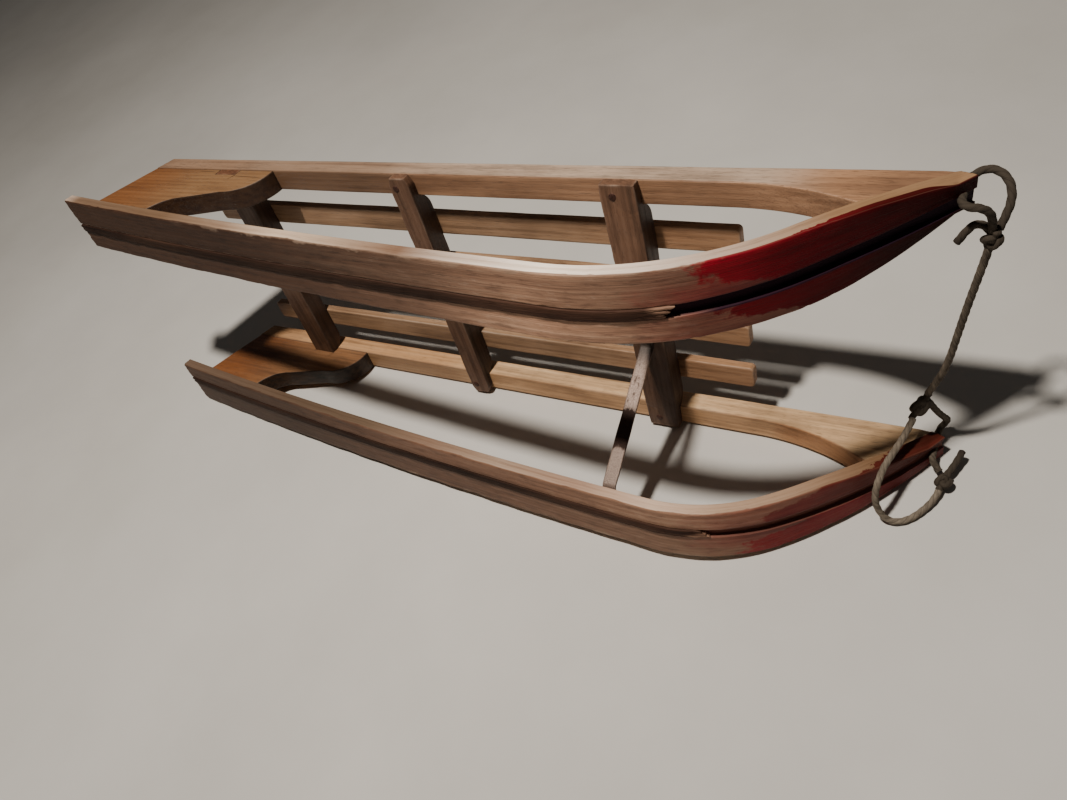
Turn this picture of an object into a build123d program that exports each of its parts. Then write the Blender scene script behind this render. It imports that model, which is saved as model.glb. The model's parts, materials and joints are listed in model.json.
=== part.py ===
from build123d import *
import math
import os

# A worn wooden sled, stored lying on its side.
# It is drawn in its own directions, in millimetres: u runs forward from the rear end of the
# soles, v runs from the lowest line of the soles up to the seat, and w runs across the sled,
# from the outer edge of one sole to that of the other. While it is drawn, X, Y and Z are u, v
# and w. At the end the whole sled is leaned over until it rests on the edge of one sole and the
# edge of the rail above it, which is how it lies on a floor.

# Overall size
SLED_LENGTH = 1035.0
SLED_HEIGHT = 196.0
SLED_WIDTH = 360.0

# Soles: bent battens that form the runners. Seen from the side, the outer face is three arcs:
# a long rocker, a toe that turns up, and a flatter run to the tip. No two were bent quite alike:
# each row is a side, the angle at which its rocker ends, the radius of its toe and the angle at
# which that ends, the radius of the run to the tip and the angle at the tip, and the length and
# the bulge of the taper of its outer edge.
SOLE_BENDS = [
    ("lower", -1.7, 188.0, 37.2, 498.0, 60.4, 120.0, 0.4),
    ("upper", -2.3, 261.0, 44.5, 1170.0, 52.0, 100.0, 4.6),
]
SOLE_WIDTH = 72.0
SOLE_THICKNESS = 13.5
SOLE_OVERHANG = 18.5
REAR_RISE = 57.0
INNER_TAPER_LENGTH = 100.0
TAPER_END_SETBACK = 12.0

# Groove along each sole and the wear strip let into it, broken off short of the toe. Past the
# strip the groove veers towards the middle of the tip.
GROOVE_SETBACK = 35.0
GROOVE_WIDTH = 12.0
GROOVE_DEPTH = 5.0
GROOVE_VEER_ANGLE = 1.6
STRIP_PROUD = 1.6
STRIP_GAP = 0.3
STRIP_LENGTH = 850.0

# Side planks: a straight rail whose front end widens into the nose
PLANK_THICKNESS = 26.0
RAIL_HEIGHT = 26.0
RAIL_SETBACK = 57.0
NOSE_LENGTH = 187.0
NOSE_RADIUS = 250.0
TIP_ROUND_LENGTH = 28.5

# Rear blocks between rail and sole, with a double curve at the front
BLOCK_FOOT_SETBACK = 12.0
BLOCK_TOP_LENGTH = 226.0
BLOCK_NOSE_LENGTH = 48.0
BLOCK_NOSE_DROP = 49.0
BLOCK_WAIST_LENGTH = 55.0
BLOCK_WAIST_DROP = 16.0
BLOCK_HEEL_LENGTH = 41.0
BLOCK_HEEL_DROP = 60.0
CURVE_SAG = 0.22

# Crossbars: each row is a name, the distance of its middle from the rear end, and its width
CROSSBARS = [
    ("crossbar_rear", 197.0, 38.0),
    ("crossbar_middle", 475.75, 28.5),
    ("crossbar_front", 740.0, 39.0),
]
CROSSBAR_DEPTH = 26.0
SHOULDER_LENGTH = 20.0
NOTCH_GAP = 0.2

# Seat slats
SLAT_COUNT = 4
SLAT_SPACING = 58.9
SLAT_WIDTH = 27.5
SLAT_THICKNESS = 11.0
SLAT_REAR_OVERHANG = 70.0
SLAT_FRONT_OVERHANG = 85.0
SLAT_CORNER = 5.0

# Iron braces from the front crossbar to the soles
BRACE_WIDTH = 15.0
BRACE_THICKNESS = 3.0
BRACE_BEND = 7.0
BRACE_FOOT = 18.0
BRACE_SPREAD = 68.0
BRACE_EDGE_GAP = 1.5
BRACE_SEAT_GAP = 0.2

# Worn edges
RAIL_EDGE = 2.5
SOLE_EDGE = 2.0
BAR_EDGE = 1.5

# Rope and the holes that it is tied through
ROPE_DIAMETER = 7.0
ROPE_HOLE = 8.0
ROPE_HOLE_SETBACK = 8.5
KNOT_DIAMETER = 18.0

# Sizes that follow from those above
RAIL_UNDERSIDE = SLED_HEIGHT - RAIL_HEIGHT
SLAT_UNDERSIDE = SLED_HEIGHT - SLAT_THICKNESS
CROSSBAR_FACE = SLAT_UNDERSIDE - CROSSBAR_DEPTH
PLANK_OUTER = SOLE_OVERHANG
PLANK_INNER = SOLE_OVERHANG + PLANK_THICKNESS
PLANK_MIDDLE = (PLANK_OUTER + PLANK_INNER) / 2
MIDDLE = SLED_WIDTH / 2
FAR = 4 * SLED_LENGTH


def heading(degrees):
    """Unit step along a heading measured up from straight forward."""
    return Vector(math.cos(math.radians(degrees)), math.sin(math.radians(degrees)))


def arc_end(start, degrees_from, degrees_to, radius):
    """End of an arc that turns upwards from one heading to another."""
    a, b = math.radians(degrees_from), math.radians(degrees_to)
    return start + Vector(math.sin(b) - math.sin(a), math.cos(a) - math.cos(b)) * radius


def sole_line(bend, offset):
    """Side view of a sole at a depth inside its outer face: points rear, toe, tip start and tip."""
    side, rocker_end, toe_radius, toe_end, tip_radius, tip_end, taper_length, taper_bulge = bend
    low = Vector(0, 0)
    toe = arc_end(low, 0, rocker_end, toe_radius)
    tip_start = arc_end(low, 0, toe_end, toe_radius)
    tip = arc_end(tip_start, toe_end, tip_end, tip_radius)
    shift = Vector(SLED_LENGTH - tip.X, 0)
    rear = Vector(0, REAR_RISE)
    chord = toe + shift - rear
    rear_angle = 2 * math.degrees(math.atan2(chord.Y, chord.X)) - rocker_end
    points = [rear, toe + shift, tip_start + shift, tip + shift]
    angles = [rear_angle, rocker_end, toe_end, tip_end]
    return [p + heading(a + 90) * offset for p, a in zip(points, angles)], angles


def sole_path(bend, offset):
    """Edges of that line, from the rear to the tip."""
    points, angles = sole_line(bend, offset)
    edges = []
    for start, end, angle in zip(points, points[1:], angles):
        edges.append(TangentArc(start, end, tangent=heading(angle)))
    return edges, points, angles


def back_height(bend, distance):
    """Height of the back of a sole at a distance from the rear end."""
    points, angles = sole_line(bend, SOLE_THICKNESS)
    for start, end, first, last in zip(points, points[1:], angles, angles[1:]):
        if start.X <= distance <= end.X:
            radius = (end - start).length / (2 * math.sin(math.radians(last - first) / 2))
            centre = start + heading(first + 90) * radius
            return centre.Y - math.sqrt(radius ** 2 - (distance - centre.X) ** 2)


def plate(edges, low, high):
    """Solid between two heights across the sled, over a closed outline in the side view."""
    face = make_face(edges)
    return extrude(Pos(0, 0, low) * face, amount=high - low, dir=(0, 0, 1))


def under_sole(bend, offset, low, high):
    """Everything on the ground side of a line inside a sole."""
    edges, points, angles = sole_path(bend, offset)
    rear, tip = points[0], points[-1]
    past_rear = rear - heading(angles[0]) * SLED_LENGTH
    past_tip = tip + heading(angles[-1]) * SLED_LENGTH
    floor = -FAR
    outline = [Line(past_rear, rear)] + edges + [Line(tip, past_tip)]
    outline.append(Polyline(past_tip, (FAR, past_tip.Y), (FAR, floor), (-FAR, floor),
                            (-FAR, past_rear.Y), past_rear))
    return plate(Curve() + outline, low, high)


def tip_cap(bend, low, high):
    """What the rounded end of the nose and sole leaves away."""
    tip = sole_line(bend, 0)[0][-1]
    start = Vector(tip.X - TIP_ROUND_LENGTH, SLED_HEIGHT)
    outline = Curve() + [
        TangentArc(start, tip, tangent=(1, 0)),
        Polyline(tip, (FAR, tip.Y), (FAR, FAR), (start.X, FAR), start),
    ]
    return plate(outline, low, high)


def rear_edge(height):
    """Where the slanted rear end of block and rail stands at a height."""
    foot = REAR_RISE + SOLE_THICKNESS
    share = (height - foot) / (SLED_HEIGHT - foot)
    return BLOCK_FOOT_SETBACK + (RAIL_SETBACK - BLOCK_FOOT_SETBACK) * share


def sagged(start, end, sag):
    """Arc between two points that bulges to the right of the way from start to end."""
    start, end = Vector(*start), Vector(*end)
    way = end - start
    return ThreePointArc(start, (start + end) / 2 + Vector(way.Y, -way.X) * sag, end)


def rope_hole():
    """Round hole through a nose and its sole, square to the seat."""
    place = Pos(SLED_LENGTH - ROPE_HOLE_SETBACK, SLED_HEIGHT, PLANK_MIDDLE)
    return place * Rot(90, 0, 0) * Cylinder(ROPE_HOLE / 2, SLED_HEIGHT)


def mirrored(shape):
    """The same piece on the other side frame."""
    plane = Plane(origin=(0, 0, MIDDLE), z_dir=(0, 0, 1))
    return mirror(shape, about=plane)


def sole(bend):
    """One sole with its groove, tapered in plan towards the tip."""
    outer, outer_points, angles = sole_path(bend, 0)
    inner, inner_points, angles = sole_path(bend, SOLE_THICKNESS)
    outline = Curve() + outer + [Line(outer_points[-1], inner_points[-1])] + inner
    outline += Line(inner_points[0], outer_points[0])
    body = plate(outline, 0, SOLE_WIDTH)
    low_face = body.faces().sort_by(Axis.Z)[0]
    high_face = body.faces().sort_by(Axis.Z)[-1]
    worn = [edge for face in (low_face, high_face) for edge in face.edges()
            if on_outer_line(edge @ 0.5, outer)]
    body = fillet(worn, SOLE_EDGE)

    taper_length, taper_bulge = bend[-2:]
    end = SLED_LENGTH - TAPER_END_SETBACK
    start, inner_start = end - taper_length, end - INNER_TAPER_LENGTH
    middle = ((start + end) / 2, 0, PLANK_OUTER / 2 - taper_bulge)
    body = body & column_over([
        ThreePointArc((start, 0, 0), middle, (end, 0, PLANK_OUTER)),
        Polyline((end, 0, PLANK_OUTER), (FAR, 0, PLANK_OUTER), (FAR, 0, PLANK_INNER),
                 (end, 0, PLANK_INNER)),
        TangentArc((inner_start, 0, SOLE_WIDTH), (end, 0, PLANK_INNER), tangent=(1, 0, 0)),
        Polyline((inner_start, 0, SOLE_WIDTH), (-FAR, 0, SOLE_WIDTH), (-FAR, 0, 0), (start, 0, 0)),
    ])
    body -= groove(bend)
    body -= tip_cap(bend, -FAR, FAR)
    return body - rope_hole()


def column_over(plan):
    """Tall upright solid over a closed outline in plan."""
    return extrude(Pos(0, -FAR, 0) * make_face(Curve() + plan), amount=2 * FAR, dir=(0, 1, 0))


def on_outer_line(point, edges):
    """Whether a point of a side view lies on a line's edges, at whatever height it is."""
    flat = Vector(point.X, point.Y)
    return min(edge.distance_to(flat) for edge in edges) < 0.01


def groove(bend):
    """The space along a sole from well outside its face to the bottom of its groove."""
    low, high = GROOVE_SETBACK, GROOVE_SETBACK + GROOVE_WIDTH
    start, end = STRIP_LENGTH, SLED_LENGTH + SOLE_WIDTH
    veer = math.tan(math.radians(GROOVE_VEER_ANGLE)) * (end - start)
    band = column_over([
        Polyline((-FAR, 0, low), (start, 0, low), (end, 0, low - veer), (end, 0, high - veer),
                 (start, 0, high), (-FAR, 0, high), (-FAR, 0, low)),
    ])
    return under_sole(bend, GROOVE_DEPTH, 0, SOLE_WIDTH) & band


def wear_strip(bend):
    """Strip let into the groove, a little proud, with a slanting broken end."""
    depth = GROOVE_DEPTH - STRIP_GAP
    outer, outer_points, angles = sole_path(bend, -STRIP_PROUD)
    inner, inner_points, angles = sole_path(bend, depth)
    outline = Curve() + outer + [Line(outer_points[-1], inner_points[-1])] + inner
    outline += Line(inner_points[0], outer_points[0])
    low = GROOVE_SETBACK + STRIP_GAP
    high = GROOVE_SETBACK + GROOVE_WIDTH - STRIP_GAP
    body = plate(outline, low, high)
    slant = high - low
    broken_off = column_over([
        Polyline((STRIP_LENGTH - 2 * slant, 0, high), (STRIP_LENGTH, 0, low), (FAR, 0, low - slant),
                 (FAR, 0, high + slant), (STRIP_LENGTH - 2 * slant, 0, high)),
    ])
    return body - broken_off


def rail(bend):
    """Rail and nose in one plank, fitted to the back of the sole."""
    nose_start = Vector(SLED_LENGTH - NOSE_LENGTH, RAIL_UNDERSIDE)
    quarter = nose_start + Vector(NOSE_RADIUS, -NOSE_RADIUS)
    outline = Curve() + [
        Line((rear_edge(RAIL_UNDERSIDE), RAIL_UNDERSIDE), nose_start),
        TangentArc(nose_start, quarter, tangent=(1, 0)),
        Polyline(quarter, (FAR, quarter.Y), (FAR, SLED_HEIGHT), (RAIL_SETBACK, SLED_HEIGHT),
                 (rear_edge(RAIL_UNDERSIDE), RAIL_UNDERSIDE)),
    ]
    body = plate(outline, PLANK_OUTER, PLANK_INNER)
    body = fillet(body.edges().filter_by(Axis.X).group_by(Axis.Y)[-1], RAIL_EDGE)
    body -= under_sole(bend, SOLE_THICKNESS, -FAR, FAR)
    body -= tip_cap(bend, -FAR, FAR)
    return body


def rear_block(bend):
    """Block between rail and sole, notched for the rear crossbar."""
    front = rear_edge(RAIL_UNDERSIDE) + BLOCK_TOP_LENGTH
    top = (front, RAIL_UNDERSIDE)
    waist_top = (front - BLOCK_NOSE_LENGTH, RAIL_UNDERSIDE - BLOCK_NOSE_DROP)
    waist_end = (waist_top[0] - BLOCK_WAIST_LENGTH, waist_top[1] - BLOCK_WAIST_DROP)
    heel = (waist_end[0] - BLOCK_HEEL_LENGTH, waist_end[1] - BLOCK_HEEL_DROP)
    outline = Curve() + [
        sagged(waist_top, top, CURVE_SAG),
        Line(waist_top, waist_end),
        sagged(heel, waist_end, -CURVE_SAG),
        Polyline(heel, (rear_edge(heel[1]), heel[1]), (rear_edge(RAIL_UNDERSIDE), RAIL_UNDERSIDE), top),
    ]
    body = plate(outline, PLANK_OUTER, PLANK_INNER)
    body -= under_sole(bend, SOLE_THICKNESS, -FAR, FAR)
    name, centre, width = CROSSBARS[0]
    notch = Pos(centre, RAIL_UNDERSIDE, MIDDLE) * Box(width + 2 * NOTCH_GAP,
                                                     2 * (RAIL_UNDERSIDE - CROSSBAR_FACE), SLED_WIDTH)
    return body - notch


def crossbar(centre, width):
    """Bar with thinner ends that pass under the rails and rounded shoulders beside them."""
    far_outer, far_inner = SLED_WIDTH - PLANK_OUTER, SLED_WIDTH - PLANK_INNER
    high, low = PLANK_INNER + SHOULDER_LENGTH, PLANK_INNER
    outline = Curve() + [
        Polyline((0, RAIL_UNDERSIDE, low), (0, RAIL_UNDERSIDE, PLANK_OUTER), (0, CROSSBAR_FACE, PLANK_OUTER),
                 (0, CROSSBAR_FACE, far_outer), (0, RAIL_UNDERSIDE, far_outer),
                 (0, RAIL_UNDERSIDE, far_inner)),
        TangentArc((0, SLAT_UNDERSIDE, SLED_WIDTH - high), (0, RAIL_UNDERSIDE, far_inner), tangent=(0, 0, 1)),
        Line((0, SLAT_UNDERSIDE, SLED_WIDTH - high), (0, SLAT_UNDERSIDE, high)),
        TangentArc((0, SLAT_UNDERSIDE, high), (0, RAIL_UNDERSIDE, low), tangent=(0, 0, -1)),
    ]
    body = extrude(Pos(centre - width / 2, 0, 0) * make_face(outline), amount=width, dir=(1, 0, 0))
    face = body.faces().sort_by(Axis.Y)[0]
    return fillet(face.edges().filter_by(Axis.Z), BAR_EDGE)


def slat(w_middle):
    """Seat slat on the crossbars, its corners worn round."""
    rear = CROSSBARS[0][1] - CROSSBARS[0][2] / 2 - SLAT_REAR_OVERHANG
    front = CROSSBARS[-1][1] + CROSSBARS[-1][2] / 2 + SLAT_FRONT_OVERHANG
    place = Pos((rear + front) / 2, SLAT_UNDERSIDE + SLAT_THICKNESS / 2, w_middle)
    body = place * Box(front - rear, SLAT_THICKNESS, SLAT_WIDTH)
    body = fillet(body.edges().filter_by(Axis.Y), SLAT_CORNER)
    return fillet(body.faces().sort_by(Axis.Y)[-1].edges(), BAR_EDGE)


def brace(bend):
    """Bent iron strap from the back of a sole to the face of the front crossbar."""
    name, centre, width = CROSSBARS[-1]
    rise = max(back_height(bend, centre + step) for step in (-BRACE_WIDTH / 2, BRACE_WIDTH / 2))
    half = BRACE_THICKNESS / 2
    foot_v = rise + BRACE_SEAT_GAP + half
    head_v = CROSSBAR_FACE - half
    bend_w = SOLE_WIDTH - BRACE_EDGE_GAP
    head_w = MIDDLE - BRACE_SPREAD / 2
    route = [(centre, foot_v, bend_w - BRACE_FOOT), (centre, foot_v, bend_w),
             (centre, head_v, head_w), (centre, head_v, head_w + BRACE_FOOT)]
    path = FilletPolyline(*route, radius=BRACE_BEND)
    section = Plane(origin=route[0], x_dir=(1, 0, 0), z_dir=(0, 0, 1))
    return sweep(section * Rectangle(BRACE_WIDTH, BRACE_THICKNESS), path=path)


def cord_radii(points):
    """Corner radii of a cord's route, each as large as its two runs allow."""
    radii = []
    for before, here, after in zip(points, points[1:], points[2:]):
        run_in, run_out = Vector(*here) - Vector(*before), Vector(*after) - Vector(*here)
        turn = math.radians(run_in.get_angle(run_out))
        radii.append(0.45 * min(run_in.length, run_out.length) / math.tan(turn / 2))
    return radii


def cord(name, points):
    """Tube along straight runs joined by tangent arcs."""
    radii = cord_radii(points)
    path = FilletPolyline(*points, radius=radii)
    section = Plane(origin=points[0], z_dir=path % 0)
    tube = sweep(section * Circle(ROPE_DIAMETER / 2), path=path)
    plain = math.pi * ROPE_DIAMETER ** 2 / 4 * path.length
    print(name, "length", round(path.length, 1), "volume share", round(tube.volume / plain, 4),
          "smallest radius", round(min(radii), 1))
    return tube


# Route points of the rope, in u, v and w, chosen by hand along the way it lies
HOLE_U = SLED_LENGTH - ROPE_HOLE_SETBACK
HIGH_HOLE_W = SLED_WIDTH - PLANK_MIDDLE
ROPES = {
    "rope_eye_upper": [
        (1050.0, 175.0, 301.0), (1050.0, 172.5, 311.0), (1047.5, 169.0, 321.5), (1041.0, 164.5, 328.0),
        (1032.5, 163.0, 329.0), (HOLE_U, 169.5, HIGH_HOLE_W), (HOLE_U + 0.3, 185.0, HIGH_HOLE_W),
        (HOLE_U, 201.0, HIGH_HOLE_W), (1031.0, 208.5, 331.0), (1040.0, 209.5, 335.5),
        (1050.0, 203.5, 336.0), (1057.5, 196.0, 330.5), (1060.0, 189.0, 320.5), (1057.5, 183.0, 309.5),
        (1054.5, 179.5, 300.0),
    ],
    "rope_span": [
        (1050.0, 176.0, 286.0), (1046.0, 176.3, 260.0), (1040.5, 176.8, 227.0), (1035.5, 177.3, 192.0),
        (1031.0, 178.5, 158.0), (1024.5, 181.0, 131.0), (1015.5, 184.7, 106.5),
    ],
    "rope_eye_lower": [
        (1016.5, 187.5, 93.5), (1021.5, 192.0, 81.0), (1026.5, 198.5, 67.5), (1031.0, 206.0, 55.5),
        (1033.5, 213.0, 46.5), (1032.5, 217.0, 38.0), (1028.0, 214.5, 31.5), (HOLE_U, 204.0, PLANK_MIDDLE),
        (HOLE_U + 0.3, 187.0, PLANK_MIDDLE), (HOLE_U, 169.5, PLANK_MIDDLE), (1030.5, 162.0, 30.5),
        (1036.0, 157.5, 27.5),
    ],
    "rope_slack_loop": [
        (1005.8, 173.5, 80.0), (1003.0, 160.0, 75.5), (999.0, 146.0, 71.5), (994.5, 131.0, 69.0),
        (990.5, 116.5, 67.0), (988.0, 103.0, 59.5), (986.8, 97.0, 47.0), (988.0, 96.0, 33.0),
        (992.0, 97.0, 20.0), (999.0, 97.2, 10.5), (1009.0, 98.5, 8.3), (1020.0, 106.0, 9.5),
        (1029.5, 119.0, 11.5), (1036.5, 131.5, 15.0), (1039.0, 142.0, 19.0),
    ],
}
# Knots: each row is a name, the ends of its body, and the way its cut end takes, if it shows one
KNOTS = [
    ("rope_knot_upper", (1052.0, 175.0, 296.0), (1050.0, 177.0, 290.0),
     [(1050.0, 176.0, 299.0), (1044.5, 176.5, 305.5), (1037.5, 177.0, 305.5), (1031.5, 176.5, 298.0),
      (1026.5, 176.0, 288.0)]),
    ("rope_knot_lower", (1014.0, 185.0, 99.0), (1006.5, 178.0, 83.0), None),
    ("rope_knot_floor", (1042.0, 152.0, 23.0), (1040.0, 146.0, 21.0),
     [(1042.0, 156.0, 24.0), (1046.0, 165.0, 26.0), (1049.5, 175.0, 29.0), (1052.5, 184.0, 33.5)]),
]


def knot(start, end, tail):
    """Knot as a plain round-ended body, with the cut end of the rope where it shows."""
    start, end = Vector(*start), Vector(*end)
    radius = KNOT_DIAMETER / 2
    plane = Plane(origin=start, z_dir=end - start)
    body = extrude(plane * Circle(radius), amount=(end - start).length)
    body = body + Pos(start.X, start.Y, start.Z) * Sphere(radius) + Pos(end.X, end.Y, end.Z) * Sphere(radius)
    if tail:
        body = body + cord("cut end", tail)
    return body


pieces = {}
for bend in SOLE_BENDS:
    side = bend[0]
    turn = mirrored if side == "upper" else (lambda shape: shape)
    pieces["rail_" + side] = turn(rail(bend))
    pieces["rear_block_" + side] = turn(rear_block(bend))
    pieces["sole_" + side] = turn(sole(bend))
    pieces["wear_strip_" + side] = turn(wear_strip(bend))
    pieces["brace_" + side] = turn(brace(bend))
for name, centre, width in CROSSBARS:
    pieces[name] = crossbar(centre, width)
for k in range(SLAT_COUNT):
    pieces["slat_" + str(k + 1)] = slat(MIDDLE + (k - (SLAT_COUNT - 1) / 2) * SLAT_SPACING)
cords = {name: cord(name, points) for name, points in ROPES.items()}
for name, start, end, tail in KNOTS:
    cords[name] = knot(start, end, tail)

# The lean that brings the rear end of one sole and the rounded edge of its rail down to the
# floor, and the shift that puts the origin under the middle of the wood and iron
rest_v = sole_line(SOLE_BENDS[0], SOLE_THICKNESS)[0][0].Y
edge_centre = Vector(SLED_HEIGHT - RAIL_EDGE - rest_v, PLANK_OUTER + RAIL_EDGE)
LEAN = math.degrees(math.atan2(edge_centre.Y, edge_centre.X) - math.asin(RAIL_EDGE / edge_centre.length))
leaned = {name: Rot(-LEAN, 0, 0) * piece for name, piece in {**pieces, **cords}.items()}
boxes = [leaned[name].bounding_box() for name in pieces]
middle_x = (min(box.min.X for box in boxes) + max(box.max.X for box in boxes)) / 2
middle_y = (min(box.min.Y for box in boxes) + max(box.max.Y for box in boxes)) / 2
lowest = min(box.min.Z for box in boxes)
shift = Pos(-middle_x, -middle_y, -lowest)
print("lean", round(LEAN, 6), "shift", round(-middle_x, 4), round(-middle_y, 4), round(-lowest, 4))

os.makedirs("parts", exist_ok=True)
for name, piece in leaned.items():
    export_step(shift * piece, "parts/" + name + ".step")
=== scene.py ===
import bpy
import json
import math
import numpy as np
from mathutils import Matrix


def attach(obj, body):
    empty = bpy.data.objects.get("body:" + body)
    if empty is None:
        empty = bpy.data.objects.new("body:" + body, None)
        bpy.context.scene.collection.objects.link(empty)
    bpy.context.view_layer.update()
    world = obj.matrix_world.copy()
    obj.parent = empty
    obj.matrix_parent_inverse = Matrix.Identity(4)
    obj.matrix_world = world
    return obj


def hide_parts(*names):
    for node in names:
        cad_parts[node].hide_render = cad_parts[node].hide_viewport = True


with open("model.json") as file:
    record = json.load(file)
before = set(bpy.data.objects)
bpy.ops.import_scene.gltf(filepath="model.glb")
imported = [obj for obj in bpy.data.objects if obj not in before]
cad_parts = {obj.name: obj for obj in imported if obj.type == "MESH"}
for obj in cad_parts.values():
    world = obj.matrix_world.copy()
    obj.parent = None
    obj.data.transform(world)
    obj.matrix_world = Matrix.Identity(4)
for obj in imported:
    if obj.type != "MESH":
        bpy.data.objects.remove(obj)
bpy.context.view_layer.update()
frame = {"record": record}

# Sizes in millimetres, as in the CAD source
SLED_LENGTH, SLED_HEIGHT, SLED_WIDTH = 1035.0, 196.0, 360.0
SOLE_WIDTH, SOLE_THICKNESS, SOLE_OVERHANG, REAR_RISE = 72.0, 13.5, 18.5, 57.0
# Each row: angle where the rocker ends, toe radius, angle where it ends, tip radius, angle at the
# tip, length and bulge of the outer edge's taper
SOLE_BENDS = {"lower": (-1.7, 188.0, 37.2, 498.0, 60.4, 120.0, 0.4),
              "upper": (-2.3, 261.0, 44.5, 1170.0, 52.0, 100.0, 4.6)}
INNER_TAPER_LENGTH, TAPER_END = 100.0, SLED_LENGTH - 12.0
GROOVE_LOW, GROOVE_HIGH, GROOVE_DEPTH, GROOVE_VEER = 35.0, 47.0, 5.0, math.tan(math.radians(1.6))
STRIP_PROUD, STRIP_GAP, STRIP_LENGTH = 1.6, 0.3, 850.0
PLANK_THICKNESS, RAIL_UNDERSIDE, RAIL_SETBACK = 26.0, 170.0, 57.0
NOSE_LENGTH, NOSE_RADIUS, TIP_ROUND_LENGTH = 187.0, 250.0, 28.5
NOSE_START = SLED_LENGTH - NOSE_LENGTH
BLOCK_FOOT_SETBACK, BLOCK_TOP_LENGTH, CURVE_SAG = 12.0, 226.0, 0.22
BLOCK_STEPS = [(48.0, 49.0), (55.0, 16.0), (41.0, 60.0)]
CROSSBARS = [("crossbar_rear", 197.0, 38.0), ("crossbar_middle", 475.75, 28.5),
             ("crossbar_front", 740.0, 39.0)]
CROSSBAR_FACE, SLAT_UNDERSIDE, SHOULDER_LENGTH = 159.0, 185.0, 20.0
SLAT_WIDTH, SLAT_THICKNESS, SLAT_START, SLAT_END, SLAT_CORNER = 27.5, 11.0, 108.0, 844.5, 5.0
SLAT_MIDDLES = [91.65, 150.55, 209.45, 268.35]
BRACE_WIDTH, BRACE_THICKNESS, BRACE_BEND = 15.0, 3.0, 7.0
BRACE_STEPS = (52.5, 70.5, 146.0, 164.0)
ROPE_DIAMETER, HOLE_U, PLANK_MIDDLE = 7.0, 1026.5, 31.5
HIGH_HOLE_W = SLED_WIDTH - PLANK_MIDDLE

# The sled's own directions as rows: forward along it, up from sole to seat, and across it
seat = next(mount for mount in frame["record"]["mounts"] if mount["name"] == "seat")
SEAT_PLACE = (612.5, 196.0, 150.55)
AXES = np.array([(1.0, 0.0, 0.0), seat["axis"], (0.0, -seat["axis"][2], seat["axis"][1])])


def place(u, v, w):
    """Points along, above and across the sled in millimetres, as points of the frame in metres."""
    spots = np.stack(np.broadcast_arrays(u, v, w), axis=-1)
    return np.array(seat["pos_m"]) + (spots - SEAT_PLACE) / 1000 @ AXES


def unit(way):
    """A direction with length 1."""
    return way / np.linalg.norm(way)


# ---------------- camera, floor and light

def add_object(name, data):
    """New object in the scene."""
    thing = bpy.data.objects.new(name, data)
    bpy.context.scene.collection.objects.link(thing)
    return thing


def stand(thing, axes, spot):
    """Puts an object at a spot, with its own three axes given as rows."""
    matrix = np.eye(4)
    matrix[:3, :3], matrix[:3, 3] = np.transpose(axes), spot
    thing.matrix_world = Matrix(matrix.tolist())


def set_camera():
    """Camera where the photograph was taken from, looking the same way."""
    right = np.array([0.85480055, 0.45409305, -0.25122803])
    down = np.array([0.15784142, -0.68866037, -0.70769554])
    ahead = np.array([-0.49437042, 0.56528435, -0.66034195])
    data = bpy.data.cameras.new("view")
    data.sensor_fit, data.sensor_width, data.lens = "HORIZONTAL", 36.0, 27.156
    data.clip_start, data.clip_end = 0.01, 100.0
    bpy.context.scene.camera = add_object("view", data)
    stand(bpy.context.scene.camera, np.array([right, -down, -ahead]) @ AXES, place(1075.50, -433.52, 712.39))


def set_light():
    """One soft round lamp over the near side of the sled, as in the photograph, in a pale room."""
    data = bpy.data.lights.new("ceiling_lamp", "AREA")
    data.shape, data.size, data.energy, data.color = "DISK", 0.15, 58.0, (1.0, 0.93, 0.84)
    spot = place(505.0, -523.0, 2139.0)
    back = unit(spot - place(560.0, 110.0, 150.0))
    right = unit(np.cross((0.0, 1.0, 0.3), back))
    stand(add_object("ceiling_lamp", data), (right, np.cross(back, right), back), spot)
    world = bpy.data.worlds.new("room")
    world.use_nodes = True
    background = world.node_tree.nodes["Background"]
    background.inputs["Color"].default_value = (0.86, 0.82, 0.78, 1.0)
    background.inputs["Strength"].default_value = 0.05
    bpy.context.scene.world = world


def set_floor():
    """Wide flat floor, which belongs to the picture and not to the sled."""
    mesh = bpy.data.meshes.new("floor")
    mesh.from_pydata([(-9, -9, 0), (9, -9, 0), (9, 9, 0), (-9, 9, 0)], [], [(0, 1, 2, 3)])
    mesh.materials.append(floor_finish("pale_floor"))
    add_object("floor", mesh)


# ---------------- finishes


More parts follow.
